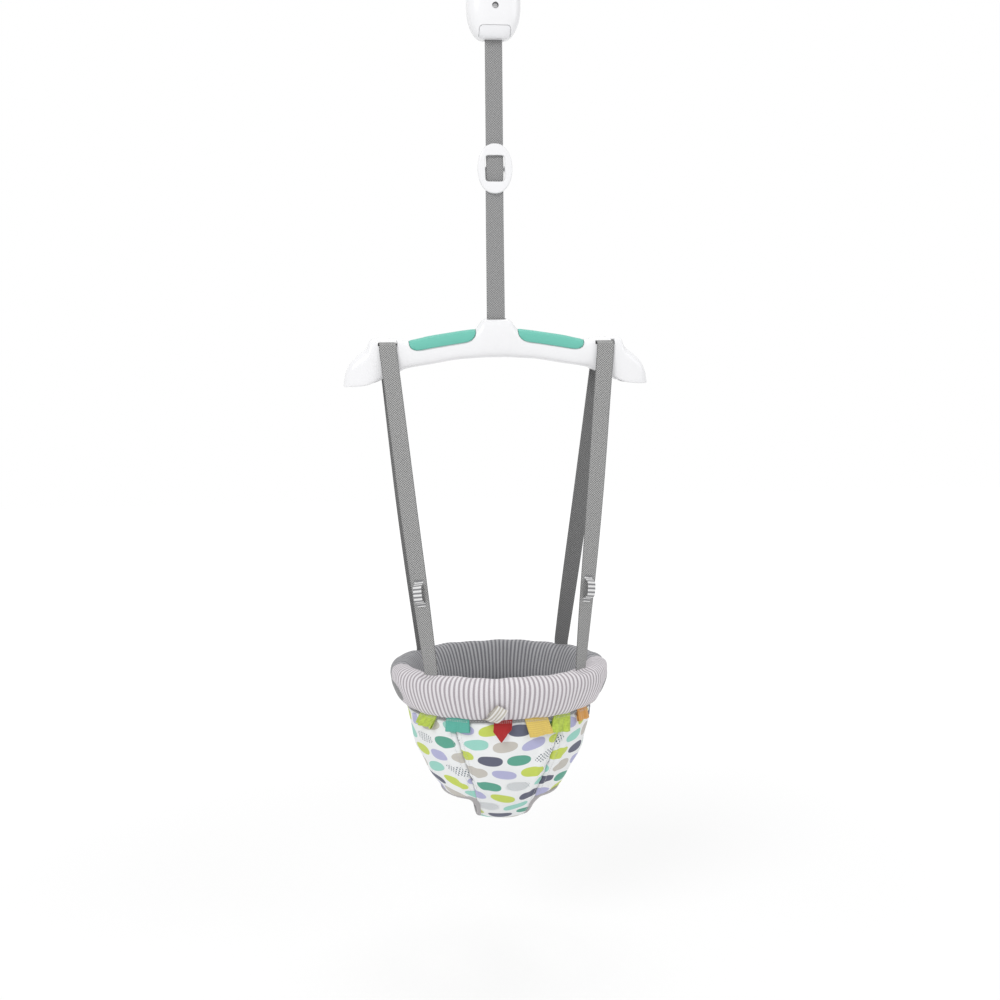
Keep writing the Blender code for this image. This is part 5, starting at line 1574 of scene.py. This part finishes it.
def run_from_top(points, column, both_ends):
    """Distances along one side of a panel from the ring, so that two panels pucker alike."""
    run = np.concatenate([[0], np.cumsum(np.linalg.norm(np.diff(points[:, column], axis=0), axis=1))])
    if both_ends:
        run = np.minimum(run, run[-1] - run)
    return run[:, None]


def thicken(piece, thickness, offset):
    thick = piece.modifiers.new("thickness", "SOLIDIFY")
    thick.thickness = thickness
    thick.offset = offset
    return thick


def cloth_panel(name, points, slopes, both_ends, nodes_replaced, shift):
    """A sewn panel: puckers at its seams, slack folds in its field, a lining behind."""
    normal = grid_normals(points)
    if (normal * (points - np.array([0, 0, pouch_top]))).sum() < 0:
        normal = -normal
    place = cloth_lengths(points, False, False)
    across = np.concatenate([np.zeros((len(points), 1)),
                             np.cumsum(np.linalg.norm(np.diff(points, axis=1), axis=2), 1)], 1)
    run = place[:, :1, 1]
    far = across[:, -1:] - across
    relief = seam_relief(across, run_from_top(points, 0, both_ends), 0.4)
    relief = relief + seam_relief(far, run_from_top(points, -1, both_ends), 0.4)
    relief = relief * sewn_share(slopes)
    top = place[:, :, 1]
    if both_ends:
        top = np.minimum(top, top[-1:] - top)
    relief = relief + seam_relief(top, place[:, :, 0], 1.1 + shift) * 0.8
    fold = np.sin((place[:, :, 1] * 0.9 + (across - across[:, -1:] / 2) * 1.3) / 0.017 + shift)
    fold += np.sin((place[:, :, 1] - across * 0.8) / 0.011 + 2 * shift)
    side = np.minimum(across, far)
    ridge = bell(side - 0.019 - 0.004 * np.sin(run / 0.021 + shift), 0.0055)
    ridge = ridge * sewn_share(slopes) * np.clip((top - 0.025) / 0.03, 0, 1)
    relief = relief + fold_height * fold * np.clip(side / 0.02, 0, 1) + ridge_height * ridge
    points = points + normal * relief[..., None]
    flip = float((grid_normals(points) * normal).sum()) < 0
    place[:, :, 0] = across - across[:, -1:] / 2 + 0.3 + shift * 0.05
    piece = skin(name, points, place, flip=flip)
    thick = thicken(piece, cloth_thickness, -1)
    thick.use_even_offset = True
    thick.material_offset = 1
    thick.material_offset_rim = 1
    dress(piece, "seat", pouch_print, *nodes_replaced)
    piece.data.materials.append(lining)
    return points, normal


def seam_stitches(name, points, normals, column):
    line = [Vector(point) for point in points[2:-2, column]]
    faces = [Vector(normal) for normal in normals[2:-2, column]]
    stitches(name, line, faces, "seat", thread_light, "pouch_cloth", seam_stitch)


def make_pouch():
    columns = 60
    slopes = np.linspace(-pi / 2, pi / 2, 191)

    def middle_place(i, j):
        half = panel_half(slopes[i]) - sewn_tuck
        return pouch_place(half * (2 * j / columns - 1), slopes[i])

    points, normals = cloth_panel("pouch_middle", grid(len(slopes), columns + 1, middle_place), slopes, True,
                                  ("pouch_front", "pouch_crotch", "pouch_rear"), 0.0)
    seam_stitches("pouch_seam_left", points, normals, 3)
    seam_stitches("pouch_seam_right", points, normals, columns - 3)
    for name, hand, node, binding in (("pouch_side_left", -1, "pouch_left", "left_leg_binding"),
                                      ("pouch_side_right", 1, "pouch_right", "right_leg_binding")):
        columns = 110
        slopes = np.linspace(pi / 2, leg_angle, 61)

        def side_place(i, j):
            edge = panel_half(slopes[i]) + sewn_tuck
            point = level_place(pouch_level(edge, slopes[i]), 2 * j / columns - 1, edge)
            return hand * point.x, point.y, point.z

        rows = grid(len(slopes), columns + 1, side_place)
        points, normals = cloth_panel(name, rows, slopes, False, (node,), 0.7 * hand)
        seam_stitches(f"{name}_seam_front", points, normals, 3)
        seam_stitches(f"{name}_seam_rear", points, normals, columns - 3)
        make_leg_binding(f"{binding}_tape", hand, binding)


def make_leg_binding(name, hand, node):
    """A gathered tape round a leg opening, along the panels' edges."""
    clear = binding_radius + tape_clear
    loop = []
    reach = leg_angle - binding_tuck_angle
    for i in range(9):
        slope = reach * (i / 4 - 1)
        loop.append(pouch_place(panel_half(slope) + clear, slope))
    edge = panel_half(leg_angle) + clear
    level = pouch_level(edge, leg_angle) + 1.2 * clear / pouch_drop
    for i in range(9):
        loop.append(level_place(level, 0.93 * (1 - i / 4), edge))
    loop = [at(hand * point.x, point.y, point.z) for point in loop]
    path = smooth_path(loop, 16, closed=True)
    centre = sum(path, Vector()) / len(path)
    rows = []
    for i, point in enumerate(path):
        out = pouch_normal(point)
        inward = direction_at(path, i, closed=True).cross(out).normalized()
        if inward.dot(centre - point) < 0:
            inward.negate()
        middle = point - inward * tape_shift - out * cloth_thickness / 2
        ripple = 1 + 0.10 * sin(i * 1.35 + 1.5 * sin(i * 0.31)) + 0.05 * sin(i * 0.63)
        corner = min(abs(i - len(path) * share) for share in (-0.5 / 18, 8.5 / 18, 17.5 / 18))
        half_width = tape_half_width + tape_corner_extra * bell(corner, 12)
        row = []
        for j in range(20):
            wide, thick = squircle(tau * j / 20, half_width, tape_half_thickness * ripple, tape_power)
            row.append(list(middle + inward * wide + out * thick))
        rows.append(row)
    piece = skin(name, rows, wrap_rows=True, wrap_columns=True)
    dress(piece, "seat", pale_tape, node, slot="grey_cloth")


# Ribbon tags


def make_tag(name, degrees, width_share, length_share, colour, lean, puff):
    """A ribbon folded double, hanging a little askew; the red one is folded to a point."""
    middle = radians(degrees - 90)
    width = tag_width * width_share
    length = tag_length * length_share
    base = foot_out + binding_radius + tag_stand
    columns = 24
    path = smooth_path([at(down, out) for down, out in tag_profile], 5)

    def place(i, j):
        down, swell, _ = path[i]
        u = j / columns - 0.5
        reach = length
        if colour == "red":
            reach = length * (1.04 - 1.1 * abs(u + 0.06) * (1 if down > 0.5 else 2 * down))
        turn = middle + width / ring_half_depth * (u + lean * down)
        wave = 0.0009 * sin(u * 9 + degrees) * down + 0.0005 * sin(u * 21 + degrees * 2) * down
        out = base + max(swell, 0) * puff + min(swell, 0) + wave * puff + tag_curl * down ** 2
        drop = down * reach * (1 - 0.5 * lean * u)
        return ring_place(turn, out, foot_up + tag_tuck - drop)

    rows = grid(len(path), columns + 1, place)
    piece = skin(name + "_ribbon", rows)
    thicken(piece, tag_thickness, 0)
    dress(piece, "seat", ribbons[colour], name)
    spread = width / ring_half_depth * 0.46
    for number, drop in enumerate(tag_stitch_drops):
        line = [ring_place(middle + spread * (k / 6 - 1), base + tag_stand, foot_up - drop)
                for k in range(13)]
        faces = [at(point.x, point.y).normalized() for point in line]
        stitches(f"{name}_stitch_{number}", line, faces, "seat", thread_light, f"{colour}_ribbon",
                 tag_stitch)


def make_folded_tag():
    """The cream ribbon doubled into a loop that leans up against the padding."""
    angles = np.radians(np.linspace(-80, 40, 80))
    rises = [squircle(angle, ring_pad_thickness / 2, ring_pad_height / 2, ring_power)[1] for angle in angles]
    foot = np.interp(cream_foot_angle, angles, rises)
    columns = 16
    path = smooth_path([at(run, lift) for run, lift in cream_profile], 5)

    def place(i, j):
        run, lift, _ = path[i]
        across = cream_width * (j / columns - 0.5)
        climb = run * cos(cream_lean) - across * sin(cream_lean)
        angle = float(np.interp(foot + climb, rises, angles))
        turn = cream_turn + (across * cos(cream_lean) + run * sin(cream_lean)) / ring_half_depth
        return ring_place(turn, *pad_offset(angle, lift + cream_wave * sin(across * 700 + run * 160)))

    rows = grid(len(path), columns + 1, place)
    piece = skin("tag_cream_ribbon", rows)
    thicken(piece, cream_thickness, 0)
    dress(piece, "seat", cream, "tag_cream")


# What the solids already show well

def finish_solids():
    """Small parts keep their solids and take a finer material."""
    for material, names in (
            (steel, ("jaw_pin", "strap_pin", "roller_pin", "left_end_pin", "right_end_pin")),
            (dark_plastic, ("spring_plate", "seat_hoop")), (trim, ("strap_guide", "strap_roller"))):
        for name in names:
            for slot in nodes[name].material_slots:
                slot.material = material


# Floor, light and camera

def seen_itself(tree):
    """1 where the camera sees it, also in a reflection or through something."""
    rays = put(tree, "ShaderNodeLightPath").outputs
    seen = Field(rays["Is Camera Ray"])
    for kind in ("Is Glossy Ray", "Is Transmission Ray"):
        seen = seen.calc("MAXIMUM", rays[kind])
    return seen


def white_backdrop():
    """A pale surface that shows as white and keeps the soft shadow on it."""
    look = Look("floor_white", 0.9, specular=0.0)
    look.feed("Base Color", (floor_shade, floor_shade, floor_shade))
    glow = put(look.tree, "ShaderNodeEmission", {"Color": (1, 1, 1), "Strength": floor_strength})
    away = put(look.tree, "ShaderNodeVectorMath", {0: look.place(), 1: (0.0, 0.0, floor_z)},
               operation="DISTANCE").outputs["Value"]
    share = ramp(Field(away), *floor_fade) * (1 - floor_glow) + floor_glow
    mixed = put(look.tree, "ShaderNodeMixShader", {
        0: seen_itself(look.tree) * share, 1: look.surface.outputs[0], 2: glow.outputs[0]})
    feed(look.tree.nodes["Material Output"].inputs["Surface"], mixed.outputs[0])
    return look.material


def make_floor():
    floor = skin("floor", grid(9, 9, lambda i, j: (1.5 * (j - 4), 1.5 * (i - 4), floor_z)))
    floor.data.materials.append(white_backdrop())


def make_light():
    world = bpy.data.worlds.new("studio")
    bpy.context.scene.world = world
    world.use_nodes = True
    background = world.node_tree.nodes["Background"].inputs
    feed(background["Color"], (1, 1, 1))
    feed(background["Strength"], seen_itself(world.node_tree) * (1 - world_light) + world_light)
    for name, place, power, size in lamps:
        lamp = bpy.data.lights.new(name, "AREA")
        lamp.energy = power
        lamp.shape = "DISK"
        lamp.size = size
        holder = in_scene(name, lamp)
        holder.location = place
        holder.rotation_euler = (lamp_target - Vector(place)).to_track_quat("-Z", "Y").to_euler()


def make_camera():
    data = bpy.data.cameras.new("camera")
    data.sensor_fit = "HORIZONTAL"
    data.angle = 2 * atan2(camera_span / 2, camera_distance)
    holder = in_scene("camera", data)
    back = Vector((sin(camera_azimuth) * cos(camera_elevation), -cos(camera_azimuth) * cos(camera_elevation),
                   sin(camera_elevation)))
    turn = (-back).to_track_quat("-Z", "Y").to_matrix().to_4x4()
    roll = Matrix.Rotation(-camera_roll, 4, "Z")
    holder.matrix_world = Matrix.Translation(camera_target + back * camera_distance) @ turn @ roll
    bpy.context.scene.camera = holder


make_camera()
make_floor()
make_light()
bpy.context.scene.view_settings.view_transform = "Standard"

make_jaw("front_jaw", -1, front_knuckle_x)
make_jaw("rear_jaw", 1, rear_knuckle_x)
make_jaw_spring()
make_housing()
make_bounce_spring()
make_main_strap()
make_buckle()
make_bar()
make_side_strap("side_strap_left", -1, "left_strap")
make_side_strap("side_strap_right", 1, "right_strap")
make_toy_loop("toy_loop_left", -1, "left_toy_loop")
make_toy_loop("toy_loop_right", 1, "right_toy_loop")
make_pad("ring_pad_front", -1, stripes, "front_pad")
make_pad("ring_pad_rear", 1, heather, "rear_pad")
make_patch("side_patch_left", pi + patch_turn, "left_patch")
make_patch("side_patch_right", -patch_turn, "right_patch")
make_binding()
make_pouch()
for tag in tag_shares:
    make_tag(*tag)
make_folded_tag()
drop_tools()
finish_solids()
